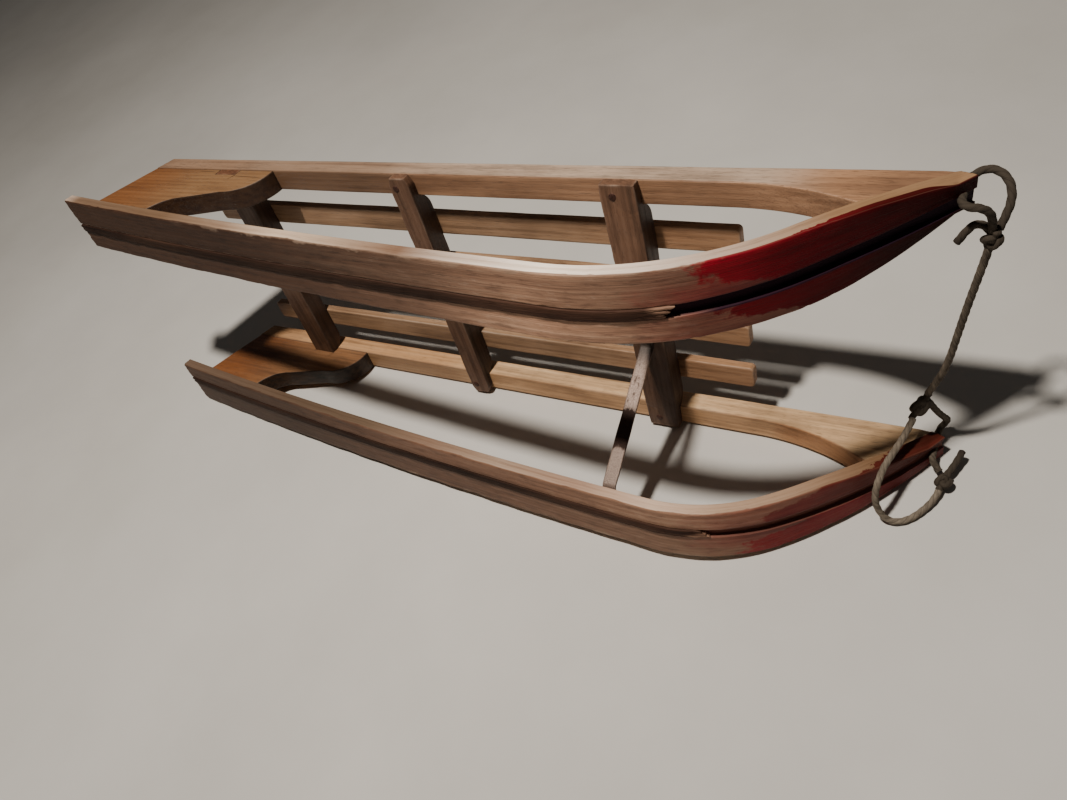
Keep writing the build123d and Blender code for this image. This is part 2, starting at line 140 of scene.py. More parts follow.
class Value:
    """A number, place or colour in a material. Arithmetic and the steps below add nodes to it and
    give another Value."""

    def __init__(self, finish, socket):
        self.finish, self.socket = finish, socket

    def __add__(self, other):
        return self.finish.calc("ADD", self, other)

    def __sub__(self, other):
        return self.finish.calc("SUBTRACT", self, other)

    def __rsub__(self, other):
        return self.finish.calc("SUBTRACT", other, self)

    def __mul__(self, other):
        return self.finish.calc("MULTIPLY", self, other)

    def larger(self, other):
        """The larger of two numbers."""
        return self.finish.calc("MAXIMUM", self, other)

    def span(self, start, end, low=0.0, high=1.0):
        """Smooth step of a number from low at start to high at end."""
        ends = {"Value": self, "From Min": start, "From Max": end, "To Min": low, "To Max": high}
        return self.finish.node("MapRange", ends, interpolation_type="SMOOTHSTEP")

    def noise(self, factors, shift=(0.0, 0.0, 0.0), detail=3.0, rough=0.55):
        """Cloudy number round a half, at a place times factors plus a shift."""
        spot = self.finish.node("Mapping", {"Vector": self, "Scale": factors, "Location": shift})
        look = {"Vector": spot, "Scale": 1.0, "Detail": detail, "Roughness": rough}
        return self.finish.node("TexNoise", look, "Fac")

    def tones(self, stops):
        """Colours along a number, each from where it is reached."""
        colours = self.finish.node("ValToRGB", {0: self}, "Color")
        ramp = colours.socket.node.color_ramp
        while len(ramp.elements) < len(stops):
            ramp.elements.new(0.5)
        for element, (spot, colour) in zip(ramp.elements, stops):
            element.position, element.color = spot, tuple(colour) + (1.0,)
        return colours

    def blend(self, share, colour, way="MIX"):
        """This colour with a share of another over it."""
        return self.finish.node("Mix", {0: share, 6: self, 7: colour}, 2, data_type="RGBA",
                                blend_type=way)

    def tint(self, colour):
        """This colour times another."""
        return self.blend(1.0, colour, "MULTIPLY")

    def relief(self, depth):
        """Bumps of a depth in metres from a height between 0 and 1."""
        return self.finish.node("Bump", {"Strength": 1.0, "Distance": depth, "Height": self})


class Finish:
    """A material being made."""

    def __init__(self, name):
        self.material = bpy.data.materials.new(name)
        self.material.use_nodes = True
        self.tree = self.material.node_tree
        self.tree.nodes.clear()
        self.shader = self.tree.nodes.new("ShaderNodeBsdfPrincipled")
        output = self.tree.nodes.new("ShaderNodeOutputMaterial")
        self.tree.links.new(self.shader.outputs[0], output.inputs[0])

    def feed(self, socket, value):
        """Links a socket to a Value, or sets its number, place or colour."""
        if isinstance(value, Value):
            self.tree.links.new(value.socket, socket)
        else:
            socket.default_value = tuple(value) + (1.0,) if socket.type == "RGBA" else value

    def node(self, kind, inputs, output=0, **settings):
        """Adds a node, sets it up, feeds its inputs and gives one of its outputs."""
        node = self.tree.nodes.new("ShaderNode" + kind)
        for key, value in settings.items():
            setattr(node, key, value)
        for key, value in inputs.items():
            self.feed(node.inputs[key], value)
        return Value(self, node.outputs[output])

    def calc(self, kind, *numbers):
        """One step of arithmetic."""
        return self.node("Math", dict(enumerate(numbers)), operation=kind)

    def read(self, name, output="Fac"):
        """Number that the mesh carries under a name, or place with the output Vector."""
        return self.node("Attribute", {}, output, attribute_name=name)

    def parts(self, spot):
        """The three numbers of a place."""
        node = self.node("SeparateXYZ", {0: spot}).socket.node
        return [Value(self, socket) for socket in node.outputs]

    def done(self, colour, roughness, normal=None, gloss=0.5, metal=0.0):
        """Feeds the shader and gives the material."""
        looks = {"Base Color": colour, "Roughness": roughness, "Normal": normal,
                 "Specular IOR Level": gloss, "Metallic": metal}
        for key, value in looks.items():
            if value is not None:
                self.feed(self.shader.inputs[key], value)
        return self.material


def far_away(seed):
    """Shift of a place that gives each seed its own part of a noise."""
    return seed * 3.1, seed * 1.7, seed * 2.3


def grain(finish, pith, ring, seed, bend=6.0):
    """Wood grain from the lengthwise, crosswise and upward place in the piece: bent growth rings
    about a pith, long soft streaks, fine fibres, short dark pores and broad clouds."""
    spot, far = finish.read("grain", "Vector"), far_away(seed)
    lengthwise, crosswise = 0.04 / ring, 0.314 / ring
    centred = finish.node("Mapping", {"Vector": spot, "Scale": (lengthwise, crosswise, crosswise),
                                      "Location": (0.0, -pith[0] * crosswise, -pith[1] * crosswise)})
    look = {"Vector": centred, "Scale": 1.0, "Distortion": bend, "Detail": 2.0, "Detail Scale": 0.12}
    rings = finish.node("TexWave", look, "Fac", wave_type="RINGS", rings_direction="X", wave_profile="SIN")
    streak = spot.noise((5.0, 170.0, 170.0), far, 4.0, 0.6)
    fibre = spot.noise((26.0, 1300.0, 1300.0), far, 2.0, 0.5)
    pores = spot.noise((70.0, 2300.0, 2300.0), far, 1.0).span(0.62, 0.72)
    cloud = spot.noise((7.0, 22.0, 22.0), far, 3.0, 0.6)
    return spot, rings, streak, fibre, pores, cloud


def wood(name, tones, pith, ring, seed, dirt, rough, pale_edge, shade=(0.03, 0.014, 0.007), cracks=()):
    """Old wood: tones from dark to light by its grain, grime in blotches and low spots, rubbed
    edges, cracks, a warmer and darker tint where the mesh carries warm, and a darker tone where it
    carries shade; both are partly painted shade, on undersides, on faces turned from the lamp and in
    joints."""
    finish = Finish(name)
    spot, rings, streak, fibre, pores, cloud = grain(finish, pith, ring, seed)
    value = rings * 0.1 + streak * 0.45 + fibre * 0.2 + cloud * 0.6 - 0.175
    rubbed = finish.read("edge").span(2.6, 0.2) * cloud.span(0.38, 0.62)
    darkening = (streak * 0.4 + cloud * 0.6).span(0.56, 0.34)
    colour = value.tones(list(zip((0.2, 0.5, 0.8), tones)))
    colour = colour.blend(rubbed * pale_edge, (0.47, 0.39, 0.31))
    colour = colour.blend(darkening * dirt, (0.035, 0.02, 0.012))
    colour = colour.blend(pores * 0.45, (0.03, 0.015, 0.008))
    for (start, low), (end, high) in cracks:
        along, across, up = finish.parts(spot)
        slope = (high - low) / (end - start)
        off = finish.calc("ABSOLUTE", up - (along * slope + cloud * 0.004 + (low - slope * start - 0.002)))
        mark = off.span(0.0008, 0.0002) * along.span(start, start + 0.008) * along.span(end, end - 0.012)
        colour = colour.blend(mark * 0.85, (0.012, 0.005, 0.003))
    # Warmer, darker tint where the mesh carries warm; on undersides this is painted shade
    colour = colour.blend(finish.read("warm"), colour.tint((0.84, 0.62, 0.46)))
    # Painted shade, and darker stretches, where the mesh carries shade
    colour = colour.blend(finish.read("shade") * streak.span(0.2, 0.6, 1.0, 0.86), shade)
    height = fibre * 0.5 + streak * 0.8 - pores * 0.4
    return finish.done(colour, darkening * 0.2 + rubbed * 0.2 + rough, height.relief(0.0005), 0.4)


# Length in metres that the shares along a sole refer to
SOLE_REACH = 1.12


def sole_finish(name, seed, face, band, groove, paint_from, paint_share, paint_dull, wrap_from, wrap_to,
                wrap_depth):
    """Sole: weathered brown faces, a rubbed band along the sides, dark grime and painted shade in the
    groove, and red paint on the outer face of the upturned front, which wraps round its side. face and
    band give, along the sole, how light the outer face and the side are; their lightening round the
    toe is a painted highlight."""
    finish = Finish(name)
    spot, rings, streak, fibre, pores, cloud = grain(finish, (0.09, 0.06), 0.004, seed, 4.0)
    along, across, depth = finish.parts(spot)
    edge, side = finish.read("edge"), finish.read("side")
    reach = along * (1 / SOLE_REACH)
    value = rings * 0.1 + streak * 0.6 + fibre * 0.25 + cloud * 0.35 - 0.15

    # Bare wood: blotches, a worn rim, the side and a rubbed line along the groove
    blotch = spot.noise((38.0, 150.0, 150.0), (seed, 0.0, seed), 5.0, 0.65)
    worn = spot.noise((24.0, 60.0, 60.0), (0.0, seed, seed), 4.0, 0.6)
    colour = value.tones([(0.22, (0.15, 0.078, 0.047)), (0.5, (0.29, 0.165, 0.105)),
                          (0.82, (0.42, 0.28, 0.195))])
    colour = colour.blend(blotch.span(0.50, 0.68, 0.0, 0.5), (0.085, 0.042, 0.026))
    colour = colour.blend(blotch.span(0.44, 0.32, 0.0, 0.35), (0.47, 0.34, 0.26))
    # Tint along the sole; its lightening round the toe is a painted highlight
    colour = colour.tint(reach.tones(face))
    rim = (across - (worn.span(0.46, 0.74) * 0.0075 + 0.0002)).span(0.0022, -0.0012)
    colour = colour.blend(rim * along.span(0.2, 0.42, 0.0, 0.5), (0.40, 0.28, 0.20))
    colour = colour.tint(across.span(0.040, 0.047, 1.0, 1.35))
    pale = value.tones([(0.2, (0.50, 0.38, 0.29)), (0.5, (0.80, 0.69, 0.59)), (0.8, (0.90, 0.83, 0.76))])
    # The side's tint along the sole; its lightening round the toe is a painted highlight
    colour = colour.blend(side.span(0.35, 0.75), pale.tint(reach.tones(band)))
    line = across.span(0.0336, 0.0341) * across.span(0.0351, 0.0349)
    colour = colour.blend(line * along.span(0.86, 0.82) * worn.span(0.36, 0.56, 0.1, 0.65),
                          (0.42, 0.29, 0.22))
    # Darker in and beside the groove from where the paint begins
    dark_by_groove = along.span(paint_from - 0.02, paint_from + 0.03) * across.span(0.020, 0.032, 0.0, 0.6)
    colour = colour.blend(dark_by_groove * across.span(0.052, 0.046), (0.045, 0.018, 0.014))

    # Paint: it starts along a cloudy border that lags beside the groove, and is chipped
    mottle = spot.noise((55.0, 70.0, 70.0), (seed, seed, 0.0), 5.0, 0.7)
    ragged = along + streak * 0.014 + mottle * 0.10 - 0.057
    lag = (across.span(0.020, 0.034, 0.0, 0.055) * across.span(0.041, 0.040)
           + across.span(0.057, 0.071, 0.015, 0.075) * across.span(0.040, 0.041))
    faded = ragged.span(paint_from - 0.07, paint_from + 0.02) * across.span(0.010, 0.026, 0.1, 0.5)
    reached = (ragged - lag).span(paint_from, paint_from + 0.028).larger(faded)
    chips = (streak * 0.6 + fibre * 0.4).span(0.28, 0.34)
    outside = depth.span(0.0055 + wrap_depth, 0.0035 + wrap_depth)
    wrap = ragged.span(wrap_from, wrap_from + 0.06) * along.span(wrap_to + 0.03, wrap_to)
    over = (depth - wrap * wrap_depth).span(0.0012, 0.0006)
    off_side = 1.0 - side.span(0.3, 0.6) * (1.0 - over)
    paint = reached * chips * outside * edge.span(0.2, 0.8, 0.85, 1.0) * paint_share * off_side
    red = (cloud * 0.7 + streak * 0.3).tones([(0.32, (0.13, 0.002, 0.008)), (0.55, (0.30, 0.005, 0.018)),
                                              (0.72, (0.42, 0.014, 0.030))])
    red = red.tint(along.span(paint_from, paint_from + 0.20, 1.0, paint_dull)
                   * across.span(0.040, 0.048, 1.0, 0.62))
    colour = colour.blend(paint, red)

    # Grime and painted shade in the groove, and on its edges where the strip is broken off
    groove_grime_and_shade = depth.span(0.0006, 0.0016) * across.span(0.0346, 0.0352) * across.span(0.0474, 0.0468)
    arris = across.span(0.0342, 0.0346) * across.span(0.0490, 0.0480) * along.span(0.86, 0.89)
    groove_grime_and_shade = (groove_grime_and_shade * off_side).larger(arris)
    colour = colour.blend(groove_grime_and_shade * 0.95, groove).blend(pores * 0.3, (0.03, 0.015, 0.01))
    height = fibre * 0.6 + streak * 1.2 + paint * 0.25
    gloss = paint.larger(groove_grime_and_shade) * -0.30 + 0.35
    return finish.done(colour, paint * -0.2 + 0.62, height.relief(0.0006), gloss)


def strip_finish(name, seed):
    """Wear strip: dark purple-brown with grime, and straw-coloured fibres where it is broken off."""
    finish = Finish(name)
    spot, rings, streak, fibre, pores, cloud = grain(finish, (0.05, 0.08), 0.003, seed)
    along, across, depth = finish.parts(spot)
    value = streak * 0.8 + fibre * 0.5 + cloud * 0.6 - 0.45
    colour = value.tones([(0.25, (0.022, 0.009, 0.006)), (0.5, (0.062, 0.028, 0.017)),
                          (0.78, (0.115, 0.058, 0.036))]).tint(along.span(0.62, 0.74, 0.5, 1.0))
    straw = value.tones([(0.3, (0.16, 0.08, 0.05)), (0.55, (0.36, 0.21, 0.14)), (0.8, (0.55, 0.38, 0.27))])
    broken = (along + streak * 0.05 - 0.025).span(0.828, 0.840) * across.span(0.0085, 0.0055, 0.25, 0.9)
    height = fibre * 0.7 + streak
    return finish.done(colour.blend(broken, straw), 0.7, height.relief(0.0008), 0.15)


def iron_finish(name, seed):
    """Old iron strap: dull grey-pink skin, with a painted highlight on its upper part and painted shade
    at its head, and dark brown rust in patches, pits and one long stretch."""
    finish = Finish(name)
    spot, far = finish.read("grain", "Vector"), far_away(seed)
    along = finish.parts(spot)[0]
    cloud = spot.noise((28.0, 60.0, 60.0), far, 5.0, 0.65)
    pits = spot.noise((700.0, 900.0, 900.0), far, 3.0, 0.6)
    skin = pits.tones([(0.3, (0.13, 0.085, 0.065)), (0.6, (0.26, 0.19, 0.155)), (0.8, (0.39, 0.31, 0.26))])
    # Painted highlight on the upper part of the strap, and painted shade at its head under the crossbar
    skin = skin.tint(along.span(0.098, 0.112, 1.0, 1.4) * along.span(0.142, 0.172, 1.0, 0.18))
    rust = pits.tones([(0.3, (0.018, 0.010, 0.007)), (0.7, (0.07, 0.032, 0.02))])
    stretch = along.span(0.052, 0.066) * along.span(0.106, 0.094)
    rusty = (stretch * 0.35 + cloud).span(0.60, 0.70)
    return finish.done(skin.blend(rusty, rust), rusty * 0.25 + 0.5, pits.relief(0.0005), 0.5, 0.35)


def nail_finish(name):
    """Rusty nail heads."""
    finish = Finish(name)
    pits = finish.read("grain", "Vector").noise((900.0, 900.0, 900.0), rough=0.6)
    colour = pits.tones([(0.3, (0.02, 0.010, 0.008)), (0.7, (0.11, 0.045, 0.03))])
    return finish.done(colour, 0.6, pits.relief(0.0004), 0.5, 0.5)


def rope_finish(name, dark):
    """Rope: grey-beige twisted fibres with painted shade between the strands. dark shifts the tone of the
    whole rope: a large value is painted shade, and a value below 0 painted light.
    """
    finish = Finish(name)
    lay, spot = finish.read("lay", "Vector"), finish.read("grain", "Vector")
    fibres = lay.noise((3.0, 3.0, 160.0), detail=4.0, rough=0.65)
    hairs = lay.noise((9.0, 9.0, 420.0), detail=2.0, rough=0.6)
    value = fibres * 0.6 + spot.noise((60.0, 60.0, 60.0), rough=0.6) * 0.5 - (0.05 + dark)
    colour = value.tones([(0.3, (0.052, 0.04, 0.029)), (0.55, (0.16, 0.128, 0.095)),
                          (0.78, (0.29, 0.245, 0.19))])
    # Painted shade between the strands
    colour = colour.blend(finish.read("crest").span(0.35, 0.0, 0.0, 0.85), (0.02, 0.014, 0.010))
    colour = colour.blend(finish.read("cut") * 0.85, (0.018, 0.011, 0.009))
    return finish.done(colour, 0.85, (hairs * 0.5 + fibres).relief(0.0006), 0.25)


def floor_finish(name):
    """Plain pale floor with the faintest clouding."""
    finish = Finish(name)
    cloud = finish.node("TexCoord", {}, "Object").noise((2.2, 2.2, 2.2), detail=5.0, rough=0.6)
    return finish.done(cloud.tones([(0.3, (0.55, 0.53, 0.495)), (0.7, (0.64, 0.62, 0.585))]), 0.8, None, 0.3)


# ---------------- surfaces

def stations(length, edge, step):
    """Stations from 0 to a length: close together at both edges, spaced so that they fall evenly
    round a corner of that radius, and even between them."""
    near = edge * (1 - np.tan(np.radians([45.0, 33.75, 22.5, 11.25, 0.0])))
    count = max(2, int(round((length - 2 * edge) / step)))
    return np.concatenate([near[:-1], np.linspace(edge, length - edge, count + 1), length - near[-2::-1]])


def merged(*runs):
    """Stations of several runs as one rising row, each once."""
    return np.unique(np.concatenate(runs))


def sums(steps):
    """Running total of steps, from 0."""
    return np.concatenate([[0.0], np.cumsum(steps)])


def rounded(x, y, wide, high, radius):
    """Corners of a rectangle made round: near a corner, squares about its centre become circles."""
    middle_x = np.clip(x, radius, wide - radius)
    middle_y = np.clip(y, radius, high - radius)
    off_x, off_y = x - middle_x, y - middle_y
    reach = np.hypot(off_x, off_y)
    share = np.maximum(abs(off_x), abs(off_y)) / np.where(reach > 0, reach, 1.0)
    return middle_x + off_x * share, middle_y + off_y * share


def step_up(x, start, end):
    """Smooth step from 0 at start to 1 at end."""
    t = np.clip((x - start) / (end - start), 0.0, 1.0)
    return t * t * (3 - 2 * t)


def above(value, most=1.0):
    """What lies above nought of a value, up to a limit."""
    return np.clip(value, 0.0, most)


def inward(x, size):
    """Distance from the nearer end of a run."""
    return np.minimum(x, size - x)


def near_edge(*walls):
    """Distance from the nearest edge, from the distances to the walls that meet in the edges."""
    return np.minimum.reduce([np.hypot(wall, other) for k, wall in enumerate(walls) for other in walls[:k]])


def ripple(seed, size, *axes):
    """Gentle unevenness round zero: six sine waves of lengths about a size, in mixed directions."""
    rng = np.random.default_rng(seed)
    total = 0.0
    for k in range(6):
        phase = rng.uniform(0, 2 * np.pi)
        for axis in axes:
            phase = phase + axis * 2 * np.pi / (size * rng.uniform(0.6, 1.9)) * rng.choice([-1, 1])
        total = total + np.sin(phase)
    return total / 3


def arc_radius(length, fall):
    """Radius of an arc that leaves a level line and has fallen so far after a length."""
    return (length ** 2 + fall ** 2) / (2 * fall)


def arc_fall(x, start, length, radius):
    """How far an arc has fallen that leaves a level line at start and ends a length after it."""
    return radius - np.sqrt(radius ** 2 - np.clip(x - start, 0.0, length) ** 2)


def walk(start, knots, headings):
    """A line whose heading changes evenly between knots along it: the sum of short steps along the
    heading. Gives a function of the length along it and the distance off it, square to the heading."""
    fine = np.linspace(knots[0], knots[-1], 8001)
    turn = np.interp(fine, knots, headings)
    middle, step = (turn[1:] + turn[:-1]) / 2, np.diff(fine)
    x, y = start[0] + sums(np.cos(middle) * step), start[1] + sums(np.sin(middle) * step)

    def at(s, off=0.0):
        heading = np.interp(s, fine, turn)
        return np.interp(s, fine, x) - off * np.sin(heading), np.interp(s, fine, y) + off * np.cos(heading)

    return at


def new_piece(name, points, quads, material, values, node=None):
    """A mesh object from arrays, its faces outward, with values carried on its points."""
    a, b, c, d = (points[quads[:, k]] for k in range(4))
    volume = np.einsum("ij,ij->i", np.cross(b - a, c - a) + np.cross(c - a, d - a), a).sum()
    if volume < 0:
        quads = quads[:, ::-1]
    mesh = bpy.data.meshes.new(name)
    mesh.vertices.add(len(points))
    mesh.vertices.foreach_set("co", points.ravel())
    mesh.loops.add(quads.size)
    mesh.loops.foreach_set("vertex_index", quads.ravel())
    mesh.polygons.add(len(quads))
    mesh.polygons.foreach_set("loop_start", np.arange(0, quads.size, 4))
    mesh.update(calc_edges=True)
    mesh.validate()
    mesh.shade_smooth()
    for key, value in values.items():
        kind, field = ("FLOAT_VECTOR", "vector") if value.ndim == 2 else ("FLOAT", "value")
        mesh.attributes.new(key, kind, "POINT").data.foreach_set(field, value.ravel())
    mesh.materials.append(material)
    piece = add_object(name, mesh)
    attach(piece, "root")
    if node:
        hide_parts(node)
    return piece


def sheet_of(index):
    """Four-sided faces over a grid of point numbers."""
    corners = [index[:-1, :-1], index[1:, :-1], index[1:, 1:], index[:-1, 1:]]
    return np.stack(corners, axis=-1).reshape(-1, 4)


def stick(node, part, material, runs, shape):
    """Closed stick: the outside of a lattice of lengthwise, crosswise and upright stations, six
    grids with shared edges, which shape() carries as whole arrays to places in the sled. shape()
    gives u, v, w, the place in the wood, the distance from an edge, and other values by name."""
    counts = [len(run) for run in runs]
    spots = np.indices(counts)
    skin = np.any([(spot == 0) | (spot == count - 1) for spot, count in zip(spots, counts)], axis=0)
    number = np.full(counts, -1)
    number[skin] = np.arange(skin.sum())
    u, v, w, values = shape(*(run[spot[skin]] for run, spot in zip(runs, spots)))
    faces = [sheet_of(number[0]), sheet_of(number[-1])[:, ::-1],
             sheet_of(number[:, 0])[:, ::-1], sheet_of(number[:, -1]),
             sheet_of(number[:, :, 0]), sheet_of(number[:, :, -1])[:, ::-1]]
    values["grain"] = np.stack(values["grain"], axis=1) / 1000
    new_piece(node + part, place(u, v, w), np.concatenate(faces), material, values, node)


# ---------------- side view of the sled

class SideLine:
    """Side view of one sole: the line of its outer face, bent by hand as three arcs, with its back,
    its taper in plan and the rounded top of its tip."""

    def __init__(self, rocker_end, toe_radius, toe_end, tip_radius, tip_end, taper_length, taper_bulge):
        rocker_end, toe_end, tip_end = np.radians([rocker_end, toe_end, tip_end])
        rise = toe_radius * (1 - math.cos(rocker_end))
        front = toe_radius * math.sin(toe_end) + tip_radius * (math.sin(tip_end) - math.sin(toe_end))
        toe = SLED_LENGTH - front + toe_radius * math.sin(rocker_end)
        chord, angle = math.hypot(toe, rise - REAR_RISE), math.atan2(rise - REAR_RISE, toe)
        rear_angle = 2 * angle - rocker_end
        rocker = chord * (rocker_end - rear_angle) / (2 * math.sin((rocker_end - rear_angle) / 2))
        self.knots = sums([rocker, toe_radius * (toe_end - rocker_end), tip_radius * (tip_end - toe_end)])
        self.at = walk((0.0, REAR_RISE), self.knots, [rear_angle, rocker_end, toe_end, tip_end])
        self.length = self.knots[-1]
        self.s = np.linspace(0.0, self.length, 4001)
        self.u, self.v = self.at(self.s)
        self.inner_u, self.inner_v = self.at(self.s, SOLE_THICKNESS)
        self.cap_radius = arc_radius(TIP_ROUND_LENGTH, SLED_HEIGHT - self.v[-1])
        self.taper_length, self.taper_bulge = taper_length, taper_bulge

    def cap(self, u):
        """Height of the rounded top of the tip."""
        return SLED_HEIGHT - arc_fall(u, SLED_LENGTH - TIP_ROUND_LENGTH, TIP_ROUND_LENGTH, self.cap_radius)

    def back(self, u):
        """Height of the back of the sole."""
        return np.interp(u, self.inner_u, self.inner_v)

    def edges(self, u):
        """Places across the sled of the sole's outer and inner edge and of the groove's two edges."""
        run = np.clip((u - TAPER_END + self.taper_length) / self.taper_length, 0.0, 1.0)
        low = np.maximum(SOLE_OVERHANG * run - 4 * self.taper_bulge * run * (1 - run), 0.0)
        radius = arc_radius(INNER_TAPER_LENGTH, SOLE_WIDTH - SOLE_OVERHANG - PLANK_THICKNESS)
        high = SOLE_WIDTH - arc_fall(u, TAPER_END - INNER_TAPER_LENGTH, INNER_TAPER_LENGTH, radius)
        veer = GROOVE_VEER * np.maximum(u - STRIP_LENGTH, 0.0)
        return low, high, GROOVE_LOW - veer, GROOVE_HIGH - veer


LINES = {side: SideLine(*bend) for side, bend in SOLE_BENDS.items()}


def rear_edge(v):
    """Where the slanting rear end of block and rail stands at a height."""
    foot = REAR_RISE + SOLE_THICKNESS
    return BLOCK_FOOT_SETBACK + (RAIL_SETBACK - BLOCK_FOOT_SETBACK) * (v - foot) / (SLED_HEIGHT - foot)


def nose_arc(u):
    """Underside of a side plank as far as the sole: straight, then down along the arc of the nose."""
    return RAIL_UNDERSIDE - arc_fall(u, NOSE_START, NOSE_RADIUS, NOSE_RADIUS)


def sides(w, side):
    """Place across the sled, mirrored for the upper side frame."""
    return SLED_WIDTH - w if side == "upper" else w


def plank_face(x, uneven):
    """Place across the sled on a plank or block, its faces worn by an unevenness."""
    return SOLE_OVERHANG + x + np.where(x > PLANK_THICKNESS / 2, -1, 1) * above(uneven)


# ---------------- wooden pieces

def make_sole(side, material):
    """Sole: a stick with rounded corners and a groove pressed into its outer face, rubbed and nicked
    along the edges, frayed at its rear end, narrowed in plan towards the tip, and bent along the
    side line: each point stands off the line by its depth, square to the heading."""
    seed, sole = (11 if side == "upper" else 23), LINES[side]
    end, bend = sole.length, sole.knots[1]
    lengthwise = merged(np.linspace(0, 16, 17), np.linspace(16, bend, 190), np.linspace(bend, end - 24, 150),
                        np.linspace(end - 24, end, 20))
    even = stations(SOLE_WIDTH, 2.5, 3.0)
    even = even[(even <= GROOVE_LOW - 2) | (even >= GROOVE_HIGH + 2)]
    wall = np.array([-1.6, -0.9, -0.45, -0.15, 0.15, 0.6, 1.4])
    crosswise = merged(even, GROOVE_LOW + wall, GROOVE_HIGH - wall, [39.0, 41.0, 43.0])

    def shape(a, b, c):
        x, d = rounded(b, c, SOLE_WIDTH, SOLE_THICKNESS, np.where(c < SOLE_THICKNESS / 2, 2.4, 1.2))
        flank = np.maximum(step_up(x, 1.3, 0.1), step_up(x, SOLE_WIDTH - 1.3, SOLE_WIDTH - 0.1))
        depth = GROOVE_DEPTH - 2.5 * step_up(a, end - 70, end - 5)
        groove = (step_up(b, GROOVE_LOW - 0.15, GROOVE_LOW + 0.15)
                  * step_up(b, GROOVE_HIGH + 0.15, GROOVE_HIGH - 0.15))
        rim, off_wall = inward(b, SOLE_WIDTH), np.minimum(abs(b - GROOVE_LOW), abs(b - GROOVE_HIGH))
        arris = np.exp(-off_wall / 0.5) * (1 - groove)
        worn = above(0.25 * ripple(seed, 60, a, b) + 0.12 * ripple(seed + 1, 14, a, 3 * b))
        rubbed = np.exp(-rim / 3.0) * above(ripple(seed + 2, 90, a) + 0.2) * 1.1
        nicks = np.exp(-rim / 1.5) * above(ripple(seed + 3, 17, a) - 0.8) * 1.6
        outer_share = 1 - d / SOLE_THICKNESS
        d = d + outer_share * (depth * groove + 0.45 * arris + worn + rubbed + nicks)
        fray = above(0.5 + 0.9 * ripple(seed + 4, 7, b) + 0.6 * ripple(seed + 5, 2.6, b, c), 6)
        s = a + (fray + 2.4 * np.exp(-((b - 41) / 7) ** 2)) * above(1 - a / 14)
        u, v = sole.at(s, d)
        v = np.minimum(v, sole.cap(u))
        low, high, groove_low, groove_high = sole.edges(u)
        inner_share = (x - GROOVE_HIGH) / (SOLE_WIDTH - GROOVE_HIGH)
        flat = np.where(x < GROOVE_LOW, low + (groove_low - low) * x / GROOVE_LOW,
                        np.where(x > GROOVE_HIGH, groove_high + (high - groove_high) * inner_share,
                                 x - GROOVE_LOW + groove_low))
        wood_depth = np.where(groove > 0.5, np.maximum(c, depth * outer_share), c)
        return (u, v, sides(flat, side),
                {"grain": (s, b, wood_depth), "edge": near_edge(np.minimum(rim, off_wall), c), "side": flank})

    stick("sole_" + side, "_wood", material,
          (lengthwise, crosswise, stations(SOLE_THICKNESS, 2.5, 2.2)), shape)


def make_strip(side, material):
    """Wear strip: a stick that fills the groove and stands a little proud, crowned by wear, bent along
    the side line, with a slanting end drawn back in splinters."""
    seed, sole = (31 if side == "upper" else 37), LINES[side]
    length = np.interp(STRIP_LENGTH, sole.u, sole.s)
    wide, thick = GROOVE_HIGH - GROOVE_LOW - 2 * STRIP_GAP, GROOVE_DEPTH - STRIP_GAP + STRIP_PROUD
    lengthwise = merged(np.linspace(0, 12, 10), np.linspace(12, length - 60, 170),
                        np.linspace(length - 60, length, 70))

    def shape(a, b, c):
        x, d = rounded(b, c, wide, thick, 1.1)
        share = 1 - d / thick
        uneven = 0.25 * ripple(seed, 50, a, b) + 0.15 * ripple(seed + 1, 9, a, 4 * b)
        d = d + share * (0.35 * (x / wide * 2 - 1) ** 2 + np.clip(uneven, -0.1, 1))
        splinters = 2.6 * above(ripple(seed + 2, 3.1, b) + 0.35, 2) + 1.2 * abs(ripple(seed + 3, 1.6, b, c))
        back = (0.9 * x + splinters) * step_up(a, length - 60, length)
        thin = step_up(a, length - 26, length) * (0.5 + above(ripple(seed + 4, 3, b))) * share
        s = a - back + above((2.5 + 1.5 * ripple(seed + 5, 4, b)) * above(1 - a / 12), 6)
        return (*sole.at(s, d - STRIP_PROUD + thin), sides(GROOVE_LOW + STRIP_GAP + x, side),
                {"grain": (s, x, d + thin), "edge": near_edge(inward(b, wide), c)})

    stick("wear_strip_" + side, "_wood", material,
          (lengthwise, stations(wide, 1.2, 0.55), stations(thick, 1.2, 0.8)), shape)


